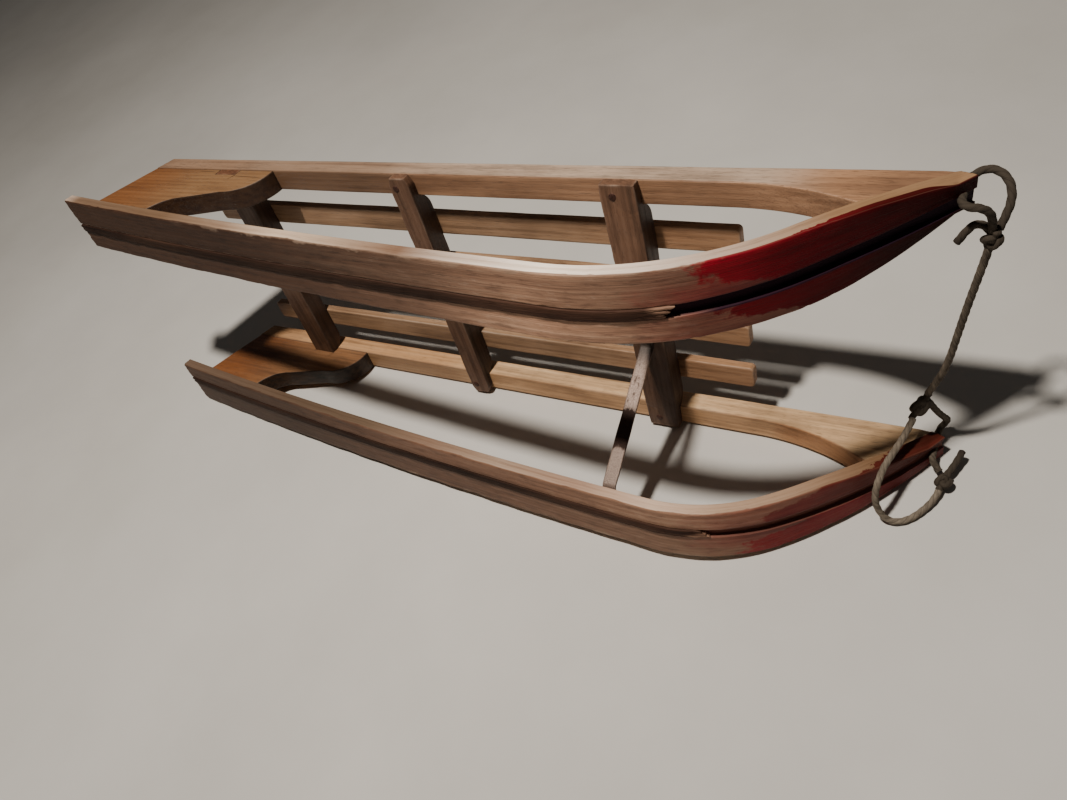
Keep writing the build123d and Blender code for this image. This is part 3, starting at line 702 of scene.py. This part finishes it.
def make_rail(side, material):
    """Side plank: upright lines from its underside to its top, a rounded rectangle in section, its rear
    end leaning, its underside going down along the nose to the back of the sole and up along that,
    and its top following the rounded tip."""
    seed, sole = (41 if side == "upper" else 47), LINES[side]
    start = rear_edge(RAIL_UNDERSIDE)
    fine = np.linspace(NOSE_START, SLED_LENGTH, 4000)
    end = fine[np.argmax(sole.cap(fine) - np.maximum(nose_arc(fine), sole.back(fine)) < 0.5)]
    cusp = fine[np.argmax(sole.back(fine) > nose_arc(fine))]
    lengthwise = merged(start + np.array([0.0, 0.5, 1.0, 1.6]), np.arange(start + 2, NOSE_START, 4.0),
                        np.linspace(NOSE_START, cusp, 70), np.linspace(cusp, end, 46))

    def shape(a, b, c):
        under = np.maximum(nose_arc(a), sole.back(a))
        tall = sole.cap(a) - under
        radius = np.minimum(np.where(c > 0.5, 2.6, 1.2), 0.45 * tall)
        x, h = rounded(b, c * tall, PLANK_THICKNESS, tall, radius)
        sunk = np.where(c > 0.5, above(0.2 * ripple(seed + 1, 70, a, b)), 0) * step_up(h / tall, 0.5, 1)
        v = under + h - sunk
        u = a + (rear_edge(v) - start) * above(1 - (a - start) / 150)
        u = u + above(ripple(seed + 2, 6, b, v)) * 0.7 * above(1 - (a - start) / 3)
        w = plank_face(x, 0.15 * ripple(seed, 120, a, b) * step_up(a, start + 1, start + 40))
        # Painted shade: the underside is tinted warmer and darker, and a shade line runs along its edges up
        # to the nose. The plank is also darker at its tip, and warmer and darker towards its rear.
        painted_shade_underside = step_up(h, 2.0, 0.8)
        painted_shade_line = 0.5 * step_up(abs(h - 0.6), 0.8, 0.1) * step_up(u, NOSE_START, NOSE_START - 30)
        shades = [painted_shade_line, 0.3 * step_up(u, 930, 1000)]
        if side == "upper":
            rear = step_up(u, 560, 400)
            warms = [step_up(u, 860, 940), 0.5 * rear, 0.7 * step_up(u, 330, 180), painted_shade_underside]
            shades += [rear * (0.4 + 0.36 * painted_shade_underside)]
        else:
            rear, nose = step_up(u, 520, 400), step_up(u, 840, 890)
            warms = [0.6 * rear, painted_shade_underside * np.maximum(0.4, nose)]
            shades += [0.2 * rear, painted_shade_underside * np.maximum(0.14 + 0.42 * rear, 0.32 * nose)]
        return (u, v, sides(w, side),
                {"grain": (u, w, v), "edge": near_edge(inward(b, PLANK_THICKNESS), tall * inward(c, 1)),
                 "warm": np.maximum.reduce(warms), "shade": np.maximum.reduce(shades)})

    stick("rail_" + side, "_plank", material,
          (lengthwise, stations(PLANK_THICKNESS, 2.5, 2.6), stations(1.0, 0.09, 0.055)), shape)


def bow(start, end, sag):
    """Points along an arc between two points that bulges to the right by a share of its chord."""
    start, end = np.array(start), np.array(end)
    way = end - start
    length = np.hypot(*way)
    rise = abs(sag) * length
    radius = arc_radius(length / 2, rise)
    x = np.linspace(-length / 2, length / 2, 40)
    y = np.sqrt(radius ** 2 - x ** 2) - (radius - rise)
    right = np.array([way[1], -way[0]]) / length * math.copysign(1, sag)
    return start + (x[:, None] + length / 2) * way / length + y[:, None] * right


def block_front(sole):
    """Double curve at the front of a rear block, from the sole up to the rail, by its share of the
    way."""
    top = np.array([rear_edge(RAIL_UNDERSIDE) + BLOCK_TOP_LENGTH, RAIL_UNDERSIDE])
    corners = top - np.cumsum(BLOCK_STEPS, axis=0)
    line = np.concatenate([bow(corners[2], corners[1], -CURVE_SAG), bow(corners[0], top, CURVE_SAG)])
    line = line[line[:, 1] > sole.back(line[:, 0])]
    run = sums(np.hypot(*np.diff(line, axis=0).T))
    return lambda t: (np.interp(t * run[-1], run, line[:, 0]), np.interp(t * run[-1], run, line[:, 1]))


def make_block(side, material):
    """Rear block: rows from the leaning rear edge to the double curve, each a straight blend between
    its two ends, pressed down under the crossbar that lies in its notch."""
    seed, sole = (53 if side == "upper" else 59), LINES[side]
    front = block_front(sole)
    foot_v = sole.back(rear_edge(sole.back(BLOCK_FOOT_SETBACK)))
    middle, width = CROSSBARS[0][1:]
    notch = middle + np.array([-1, 1]) * (width / 2 + 0.25)
    notch = (notch - rear_edge(RAIL_UNDERSIDE)) / BLOCK_TOP_LENGTH
    even = stations(1.0, 0.012, 0.018)
    even = even[(abs(even - notch[0]) > 0.004) & (abs(even - notch[1]) > 0.004)]

    def shape(a, b, t):
        front_u, front_v = front(t)
        rear_v = foot_v + (RAIL_UNDERSIDE - foot_v) * t
        rear_u = rear_edge(rear_v)
        row = np.hypot(front_u - rear_u, front_v - rear_v)
        x, y = rounded(a * row, b, row, PLANK_THICKNESS, 1.6)
        share = x / row
        u, v = rear_u + (front_u - rear_u) * share, rear_v + (front_v - rear_v) * share
        pressed = ((a > notch[0]) & (a < notch[1])) * above((v - 150) / (RAIL_UNDERSIDE - 150))
        v = v - (RAIL_UNDERSIDE - CROSSBAR_FACE + 0.2) * pressed
        w = plank_face(y, 0.25 * ripple(seed, 90, u, v))
        # Painted shade on the curved front face and a painted shade line under the rail; the rear is warmer
        painted_shade_line = 0.75 * step_up((1 - t) * (RAIL_UNDERSIDE - rear_v[0]), 1.0, 0.0)
        return (u, v, sides(w, side),
                {"grain": (u, w, v), "edge": near_edge(inward(b, PLANK_THICKNESS), inward(a, 1) * row),
                 "warm": step_up(u, 180, 50), "shade": np.maximum(step_up((1 - a) * row, 1.4, 0.4), painted_shade_line)})

    stick("rear_block_" + side, "_wood", material,
          (merged(even, notch - 0.0004, notch + 0.0004), stations(PLANK_THICKNESS, 2.0, 2.6),
           stations(1.0, 0.02, 0.026)), shape)


def make_crossbar(name, centre, width, seed, cut, darkening, high, warm_end, material):
    """Crossbar: a bar whose top falls along an arc to a thinner end under each rail, a rounded
    rectangle in section, worn, with its end corners cut back."""
    span = SLED_WIDTH - 2 * SOLE_OVERHANG
    shoulder_radius = arc_radius(SHOULDER_LENGTH, SLAT_UNDERSIDE - RAIL_UNDERSIDE)
    shoulder = np.linspace(PLANK_THICKNESS, PLANK_THICKNESS + SHOULDER_LENGTH, 16)
    lengthwise = merged(stations(span, 2.0, 4.0), shoulder, span - shoulder,
                        [PLANK_THICKNESS + 0.05, span - PLANK_THICKNESS - 0.05])

    def shape(a, b, c):
        end = inward(a, span)
        top = SLAT_UNDERSIDE - arc_fall(shoulder[-1] - end, 0.0, SHOULDER_LENGTH, shoulder_radius)
        tall = np.where(end <= PLANK_THICKNESS, RAIL_UNDERSIDE, top) - CROSSBAR_FACE
        x, h = rounded(b, c * tall, width, tall, np.where(c < 0.5, 1.9, 1.0))
        h = h + (1 - c) * above(0.45 * ripple(seed, 45, a, b) + 0.2 * ripple(seed + 1, 9, 2 * a, b))
        x = width / 2 + (x - width / 2) * (1 - 2 * cut * above(1 - end / 9) / width)
        x = x + (width / 2 - x) / width * 2 * above(0.5 * ripple(seed + 2, 60, a))
        w = SOLE_OVERHANG + a + above(0.8 - end) * 0.5 * above(ripple(seed + 3, 5, b, h))
        # Painted shade on the forward side face; the bar is also darker towards the lower side frame
        shade = np.maximum(0.9 * step_up(x, width - 1.6, width - 0.6), darkening * step_up(w, high, high - 60))
        return (centre - width / 2 + x, CROSSBAR_FACE + h, w,
                {"grain": (w, x, h), "edge": near_edge(inward(b, width), c * tall, end),
                 "warm": warm_end * step_up(end, 3.0, 0.5), "shade": shade * step_up(end, 0.2, 2.5)})

    stick(name, "_wood", material,
          (lengthwise, stations(width, 2.2, 2.6), stations(1.0, 0.12, 0.12)), shape)


def make_slat(name, seed, middle, material):
    """Seat slat: a flat stick, rounded along its edges and at its corners in plan, slightly uneven."""
    length = SLAT_END - SLAT_START
    lengthwise = merged(stations(length, SLAT_CORNER, 6.0), [1.6, 2.4, length - 1.6, length - 2.4])
    crosswise = merged(stations(SLAT_WIDTH, SLAT_CORNER, 2.6), [0.5, SLAT_WIDTH - 0.5])

    def shape(a, b, c):
        y, z = rounded(b, c, SLAT_WIDTH, SLAT_THICKNESS, 1.3)
        x, z = rounded(a, z, length, SLAT_THICKNESS, 1.3)
        x, y = rounded(x, y, length, SLAT_WIDTH, SLAT_CORNER)
        y = y + (SLAT_WIDTH / 2 - y) / SLAT_WIDTH * 2 * above(0.35 * ripple(seed, 150, a))
        z = z - c / SLAT_THICKNESS * above(0.3 * ripple(seed + 1, 80, a, b))
        near = near_edge(inward(a, length), inward(b, SLAT_WIDTH), inward(c, SLAT_THICKNESS))
        return (SLAT_START + x, SLAT_UNDERSIDE + z, middle - SLAT_WIDTH / 2 + y,
                {"grain": (x, y, z), "edge": near, "warm": 0.4 * step_up(x, 520, 680),
                 "shade": 0.22 * step_up(x, 640, 480)})

    stick(name, "_wood", material, (lengthwise, crosswise, stations(SLAT_THICKNESS, 1.5, 2.0)), shape)


# ---------------- ironwork

def brace_foot(side):
    """Height of the underside of the strap's foot, which rests on the back of the sole."""
    ends = CROSSBARS[-1][1] + np.array([-1, 1]) * BRACE_WIDTH / 2
    return LINES[side].back(ends).max() + 0.2


def make_brace(side, material):
    """Iron strap bent twice: its middle line turns evenly through each bend, and the section stands
    square to it, a little beaten."""
    heights = (brace_foot(side) + BRACE_THICKNESS / 2,) * 2 + (CROSSBAR_FACE - BRACE_THICKNESS / 2,) * 2
    foot, bend, top, head = (np.array(spot) for spot in zip(BRACE_STEPS, heights))
    slope = math.atan2(*(top - bend)[::-1])
    cut = BRACE_BEND * math.tan(slope / 2)
    knots = sums([np.hypot(*(bend - foot)) - cut, BRACE_BEND * slope, np.hypot(*(top - bend)) - 2 * cut,
                  BRACE_BEND * slope, np.hypot(*(head - top)) - cut])
    line = walk(foot, knots, [0.0, 0.0, slope, slope, 0.0, 0.0])
    seed = 101 if side == "upper" else 107

    def shape(a, b, c):
        x, z = rounded(b, c, BRACE_WIDTH, BRACE_THICKNESS, 0.6)
        y, x = rounded(a, x, knots[-1], BRACE_WIDTH, 4.0)
        w, v = line(y, z - BRACE_THICKNESS / 2)
        x = x + 0.3 * ripple(seed, 40, a) * (x / BRACE_WIDTH - 0.5)
        near = near_edge(inward(b, BRACE_WIDTH), inward(c, BRACE_THICKNESS))
        return (CROSSBARS[-1][1] - BRACE_WIDTH / 2 + x, v, sides(w, side), {"grain": (y, x, z), "edge": near})

    runs = stations(knots[-1], 4.0, 1.6), stations(BRACE_WIDTH, 4.0, 1.2), stations(BRACE_THICKNESS, 0.7, 0.6)
    stick("brace_" + side, "_strap", material, runs, shape)


def make_heads(name, spots, radius, height, sink, material):
    """Nail or rivet heads: a low dome turned round its middle, rim first, slightly tilted, repeated
    at each spot along the way that the spot faces."""
    angle = np.linspace(0, 2 * np.pi, 18, endpoint=False)
    across, up = np.cos(angle)[:, None], np.sin(angle)[:, None]
    ring = np.array([0.0, 0.45, 0.8, 0.95, 1.0, 1.0, 0.9, 0.0]) * radius
    ring[[0, -1]] = 0.02
    level = np.array([height, height * 0.88, height * 0.55, height * 0.25, 0.0, -sink, -sink, -sink])
    number = np.arange(ring.size * angle.size).reshape(ring.size, angle.size)
    faces = sheet_of(np.concatenate([number, number[:, :1]], axis=1))
    points = []
    for count, (spot, way) in enumerate(spots):
        first = unit(np.cross(way, (0.3, 0.2, 0.93)))
        second = np.cross(way, first)
        local = ring[:, None, None] * (across * first + up * second) + level[:, None, None] * way
        tilt = np.random.default_rng(count).normal(0, 0.05) * radius
        points.append((spot + local + way * (tilt * across)).reshape(-1, 3))
    faces = np.concatenate([faces + count * number.size for count in range(len(spots))])
    points = np.concatenate(points)
    new_piece(name, place(*points.T), faces, material, {"grain": points / 1000})


# ---------------- rope

# Route points of the rope along, above and across the sled, as in the CAD source
ROPES = {
    "rope_eye_upper": [
        (1050.0, 175.0, 301.0), (1050.0, 172.5, 311.0), (1047.5, 169.0, 321.5), (1041.0, 164.5, 328.0),
        (1032.5, 163.0, 329.0), (HOLE_U, 169.5, HIGH_HOLE_W), (HOLE_U + 0.3, 185.0, HIGH_HOLE_W),
        (HOLE_U, 201.0, HIGH_HOLE_W), (1031.0, 208.5, 331.0), (1040.0, 209.5, 335.5),
        (1050.0, 203.5, 336.0), (1057.5, 196.0, 330.5), (1060.0, 189.0, 320.5), (1057.5, 183.0, 309.5),
        (1054.5, 179.5, 300.0),
    ],
    "rope_span": [
        (1050.0, 176.0, 286.0), (1046.0, 176.3, 260.0), (1040.5, 176.8, 227.0), (1035.5, 177.3, 192.0),
        (1031.0, 178.5, 158.0), (1024.5, 181.0, 131.0), (1015.5, 184.7, 106.5),
    ],
    "rope_eye_lower": [
        (1016.5, 187.5, 93.5), (1021.5, 192.0, 81.0), (1026.5, 198.5, 67.5), (1031.0, 206.0, 55.5),
        (1033.5, 213.0, 46.5), (1032.5, 217.0, 38.0), (1028.0, 214.5, 31.5), (HOLE_U, 204.0, PLANK_MIDDLE),
        (HOLE_U + 0.3, 187.0, PLANK_MIDDLE), (HOLE_U, 169.5, PLANK_MIDDLE), (1030.5, 162.0, 30.5),
        (1036.0, 157.5, 27.5),
    ],
    "rope_slack_loop": [
        (1005.8, 173.5, 80.0), (1003.0, 160.0, 75.5), (999.0, 146.0, 71.5), (994.5, 131.0, 69.0),
        (990.5, 116.5, 67.0), (988.0, 103.0, 59.5), (986.8, 97.0, 47.0), (988.0, 96.0, 33.0),
        (992.0, 97.0, 20.0), (999.0, 97.2, 10.5), (1009.0, 98.5, 8.3), (1020.0, 106.0, 9.5),
        (1029.5, 119.0, 11.5), (1036.5, 131.5, 15.0), (1039.0, 142.0, 19.0),
    ],
}
KNOTS = [
    ("rope_knot_upper", (1052.0, 175.0, 296.0), (1050.0, 177.0, 290.0),
     [(1050.0, 176.0, 299.0), (1044.5, 176.5, 305.5), (1037.5, 177.0, 305.5), (1031.5, 176.5, 298.0),
      (1026.5, 176.0, 288.0)]),
    ("rope_knot_lower", (1014.0, 185.0, 99.0), (1006.5, 178.0, 83.0), None),
    ("rope_knot_floor", (1042.0, 152.0, 23.0), (1040.0, 146.0, 21.0),
     [(1042.0, 156.0, 24.0), (1046.0, 165.0, 26.0), (1049.5, 175.0, 29.0), (1052.5, 184.0, 33.5)]),
]
# Length over which the strands turn once round, points round the rope, their distance along it in
# metres, and the size of a knot
STRAND_LAY, FACETS, ROPE_STEP, KNOT_SIZE = 26.0, 27, 0.0007, 1.75


def smooth_route(points):
    """Points along the smooth spline that has the route's points as its control points."""
    data = bpy.data.curves.new("route", "CURVE")
    data.dimensions, data.resolution_u = "3D", 16
    spline = data.splines.new("NURBS")
    spline.points.add(len(points) - 1)
    spots = place(*np.array(points).T)
    spline.points.foreach_set("co", np.concatenate([spots, np.ones((len(points), 1))], axis=1).ravel())
    spline.order_u, spline.use_endpoint_u = 3, True
    carrier = bpy.data.objects.new("route", data)
    mesh = bpy.data.meshes.new_from_object(carrier)
    line = np.empty(len(mesh.vertices) * 3)
    mesh.vertices.foreach_get("co", line)
    bpy.data.objects.remove(carrier)
    bpy.data.meshes.remove(mesh)
    return line.reshape(-1, 3)


def even_steps(line):
    """The same line with points a step apart, and the length up to each."""
    run = sums(np.linalg.norm(np.diff(line, axis=0), axis=1))
    s = np.linspace(0.0, run[-1], max(8, int(run[-1] / ROPE_STEP)))
    return np.stack([np.interp(s, run, line[:, k]) for k in range(3)], axis=1), s


def tube(line, cut_end=0.0):
    """Three-strand rope round a line: rings square to it, whose radius swells over each strand and
    turns with the lay, closed by a drawn-in ring at each end. The frame of each ring is the one
    before it, turned with the line. A cut end is marked."""
    radius = ROPE_DIAMETER / 2000
    line, s = even_steps(line)
    ahead = np.gradient(line, axis=0)
    ahead /= np.linalg.norm(ahead, axis=1)[:, None]
    first = np.cross(ahead[0], (0.31, 0.74, 0.6))
    normals = []
    for way in ahead:
        first = unit(first - way * (first @ way))
        normals.append(first)
    normals = np.array(normals)
    others = np.cross(ahead, normals)
    angle = np.linspace(0, 2 * np.pi, FACETS, endpoint=False)[None, :]
    lay = angle + (s * 1000 / STRAND_LAY * 2 * np.pi)[:, None]
    crest = abs(np.cos(1.5 * lay))
    swell = radius * (0.78 + 0.19 * crest ** 0.6) * (1 + 0.03 * np.sin(9 * lay + s[:, None] * 900))
    outward = np.cos(angle)[..., None] * normals[:, None] + np.sin(angle)[..., None] * others[:, None]
    points = line[:, None] + swell[..., None] * outward
    first_end, last_end = ([line[k] + ahead[k] * away * radius + (points[k] - points[k].mean(axis=0)) * share
                            for share in (0.02, 0.55)] for k, away in ((0, -0.25), (-1, 0.25)))
    points = np.concatenate([first_end, points, last_end[::-1]])
    length = np.broadcast_to(s[:, None], lay.shape)
    values = {"lay": np.stack([np.cos(lay), np.sin(lay), length], axis=-1), "crest": crest,
              "cut": cut_end * np.exp(-(s[-1] - length) / 0.004)}
    for key, value in values.items():
        value = np.concatenate([value[:1], value[:1], value, value[-1:], value[-1:]])
        values[key] = value.reshape((-1,) + value.shape[2:])
    values["grain"] = points.reshape(-1, 3)
    number = np.arange(points.shape[0] * FACETS).reshape(-1, FACETS)
    return points.reshape(-1, 3), sheet_of(np.concatenate([number, number[:, :1]], axis=1).T), values


def joined(tubes):
    """Several tubes as one set of arrays."""
    points, faces, values = zip(*tubes)
    starts = sums([len(one) for one in points]).astype(int)
    faces = [one + start for one, start in zip(faces, starts)]
    together = {key: np.concatenate([one[key] for one in values]) for key in values[0]}
    return np.concatenate(points), np.concatenate(faces), together


def make_knot(name, start, end, tail, material):
    """Knot pulled tight: the rope follows a trefoil, three loops over and under each other, about the
    way that the rope runs, with the cut end where it shows."""
    start, end = np.array(start), np.array(end)
    middle, length = (start + end) / 2, np.linalg.norm(end - start)
    axis = unit(end - start)
    first = unit(np.cross(axis, (0.2, 0.9, 0.4)))
    t = np.linspace(0, 2 * np.pi, 121)[:, None]
    x, y, z = np.sin(t) + 2 * np.sin(2 * t), np.cos(t) - 2 * np.cos(2 * t), -np.sin(3 * t)
    loops = middle + KNOT_SIZE * (x * first + y * np.cross(axis, first)) + (2.6 + length * 0.18) * z * axis
    through = middle + np.linspace(-1, 1, 12)[:, None] * (length / 2 + 6.5) * axis
    tubes = [tube(place(*loops.T)), tube(place(*through.T))]
    if tail:
        tubes.append(tube(smooth_route(tail), 1.0))
    points, faces, values = joined(tubes)
    return new_piece(name + "_tied", points, faces, material, values, name)


def make_rope(name, material, **facts):
    """One stretch of the rope along its smooth route."""
    line = smooth_route(ROPES[name])
    points, faces, values = tube(line)
    piece = new_piece(name + "_cord", points, faces, material, values, name)


# ---------------- the whole sled

set_camera()
set_light()
set_floor()

# Three copies of the rope: the dark one is painted shade on the upper eye and the knots, and the pale one is
# painted light on the loop lying on the floor
rope, rope_in_painted_shade, rope_in_painted_light = (rope_finish(name, dark) for name, dark in (
    ("old_rope", 0.10), ("rope_in_painted_shade", 0.42), ("rope_in_painted_light", -0.08)))
knots = {name: make_knot(name, start, end, tail, rope_in_painted_shade) for name, start, end, tail in KNOTS}
make_rope("rope_eye_upper", rope_in_painted_shade, far_end="knot", lay="hanging", with_pieces=[knots["rope_knot_upper"]])
make_rope("rope_span", rope, far_end="knot", lay="hanging", with_pieces=[knots["rope_knot_lower"]])
make_rope("rope_eye_lower", rope, far_end="knot", lay="loose")
make_rope("rope_slack_loop", rope_in_painted_light, far_end="knot", lay="loose", with_pieces=[knots["rope_knot_floor"]])

# The looks of each sole. face and band are rows of a share of SOLE_REACH and a tint; their light tints
# round the toe are a painted highlight. groove is the colour of grime and painted shade in the groove.
SOLE_LOOKS = {
    "upper": dict(
        seed=15, groove=(0.025, 0.012, 0.022), paint_from=0.862, paint_share=0.97, paint_dull=0.17,
        wrap_from=0.94, wrap_to=1.06, wrap_depth=0.0042,
        face=[(0.0, (0.20, 0.15, 0.115)), (0.28, (0.16, 0.115, 0.09)), (0.42, (0.27, 0.22, 0.19)),
              (0.54, (0.54, 0.49, 0.46)), (0.65, (1.42, 1.38, 1.34)), (0.72, (1.05, 1.0, 0.97)),
              (0.77, (0.70, 0.62, 0.60))],
        band=[(0.0, (0.60, 0.52, 0.47)), (0.025, (0.24, 0.17, 0.12)), (0.20, (0.20, 0.135, 0.085)),
              (0.30, (0.36, 0.27, 0.21)), (0.38, (0.80, 0.69, 0.58)), (0.53, (0.26, 0.165, 0.115)),
              (0.67, (1.5, 1.46, 1.42)), (0.78, (0.70, 0.61, 0.56)), (0.88, (0.38, 0.25, 0.15))]),
    "lower": dict(
        seed=17, groove=(0.17, 0.068, 0.052), paint_from=0.872, paint_share=0.84, paint_dull=0.55,
        wrap_from=1.01, wrap_to=1.2, wrap_depth=0.016,
        face=[(0.0, (0.24, 0.20, 0.17)), (0.22, (0.20, 0.16, 0.13)), (0.42, (0.50, 0.43, 0.39)),
              (0.56, (0.62, 0.54, 0.49)), (0.70, (0.85, 0.8, 0.76)), (0.80, (0.8, 0.75, 0.7))],
        band=[(0.0, (0.20, 0.145, 0.11)), (0.25, (0.14, 0.10, 0.07)), (0.36, (0.175, 0.13, 0.092)),
              (0.45, (0.30, 0.21, 0.16)), (0.54, (0.51, 0.41, 0.34)), (0.63, (0.52, 0.38, 0.31)),
              (0.71, (0.84, 0.69, 0.59)), (0.77, (0.60, 0.46, 0.36)), (0.82, (0.50, 0.37, 0.28)),
              (0.92, (0.26, 0.165, 0.095))]),
}
STRIP_SEEDS = {"upper": 19, "lower": 21}
rail_looks = dict(pith=(0.12, 0.10), ring=0.005, dirt=0.35, rough=0.45, pale_edge=0.5)
block_looks = dict(pith=(0.11, 0.02), ring=0.006, dirt=0.3, rough=0.4, pale_edge=0.3)
rail_woods = {
    "upper": wood("rail_wood_upper", [(0.31, 0.20, 0.135), (0.46, 0.335, 0.245), (0.58, 0.45, 0.35)],
                  seed=3, **rail_looks),
    "lower": wood("rail_wood_lower", [(0.46, 0.27, 0.135), (0.72, 0.46, 0.25), (0.84, 0.61, 0.36)],
                  seed=4, **rail_looks)}
# The cracks run in the side of the block, from one place along and above the sled to another, in metres
# The shade colours are for the painted shade on each block's curved front and under the rail
block_woods = {
    "upper": wood("block_wood_upper", [(0.13, 0.060, 0.023), (0.225, 0.118, 0.053), (0.31, 0.18, 0.09)],
                  seed=5, shade=(0.020, 0.007, 0.004), **block_looks,
                  cracks=[((0.140, 0.1655), (0.178, 0.1645)), ((0.176, 0.1655), (0.202, 0.1575)),
                          ((0.214, 0.1565), (0.268, 0.1540))]),
    "lower": wood("block_wood_lower", [(0.14, 0.062, 0.025), (0.25, 0.12, 0.052), (0.34, 0.18, 0.088)],
                  seed=6, shade=(0.006, 0.003, 0.002), **block_looks)}
bar_wood = wood("crossbar_wood", [(0.10, 0.047, 0.024), (0.17, 0.084, 0.047), (0.25, 0.14, 0.085)],
                pith=(0.05, 0.05), ring=0.004, seed=7, dirt=0.5, rough=0.5, pale_edge=0.35,
                shade=(0.02, 0.008, 0.004))
slat_wood = wood("slat_wood", [(0.24, 0.126, 0.064), (0.40, 0.235, 0.130), (0.53, 0.345, 0.218)],
                 pith=(0.06, 0.04), ring=0.0045, seed=9, dirt=0.4, rough=0.45, pale_edge=0.4)
strap_iron = iron_finish("strap_iron", 13)
nail_iron = nail_finish("nail_iron")

for side in LINES:
    make_sole(side, sole_finish("sole_wood_" + side, **SOLE_LOOKS[side]))
    make_strip(side, strip_finish("strip_wood_" + side, STRIP_SEEDS[side]))
    make_rail(side, rail_woods[side])
    make_block(side, block_woods[side])
    make_brace(side, strap_iron)
# Each row: seed, how far the end corners are cut back, how much darker the bar is, up to where
# across the sled it is darker, and how warm the ends are
BAR_LOOKS = [(130, 1.2, 0.6, 420.0, 0.8), (137, 4.0, 0.3, 420.0, 0.0), (144, 1.2, 0.5, 240.0, 0.0)]
for bar, looks in zip(CROSSBARS, BAR_LOOKS):
    make_crossbar(*bar, *looks, bar_wood)
for k, middle in enumerate(SLAT_MIDDLES, 1):
    make_slat("slat_" + str(k), 70 + 5 * k, middle, slat_wood)

# Nails: two through each slat and each end of a crossbar, and one under the ends of two crossbars
seat_nails = []
for name, centre, width in CROSSBARS:
    for k, middle in enumerate(SLAT_MIDDLES):
        for part in (-1, 1):
            shift = 8.0 if (k + part) % 2 else 6.0
            seat_nails.append(((centre + part * shift, SLED_HEIGHT, middle + part * 5.0), (0, 1, 0)))
    for w in (PLANK_MIDDLE, HIGH_HOLE_W):
        seat_nails += [((centre - 7.0, SLED_HEIGHT, w), (0, 1, 0)),
                       ((centre + 9.0, SLED_HEIGHT, w + 3.0), (0, 1, 0))]
bar_nails = [((centre - 5.0, CROSSBAR_FACE, sides(31.0, side)), (0, -1, 0))
             for name, centre, width in CROSSBARS[1:] for side in LINES]
rivets = []
for side in LINES:
    centre = CROSSBARS[-1][1]
    rivets += [((centre, brace_foot(side) + BRACE_THICKNESS, sides(61.5, side)), (0, 1, 0)),
               ((centre, CROSSBAR_FACE - 0.1 - BRACE_THICKNESS, sides(155.0, side)), (0, -1, 0))]
make_heads("seat_nails", seat_nails, radius=2.4, height=0.7, sink=1.2, material=nail_iron)
make_heads("crossbar_nails", bar_nails, radius=4.2, height=1.0, sink=1.5, material=nail_iron)
make_heads("brace_rivets", rivets, radius=4.0, height=1.6, sink=1.2, material=nail_iron)
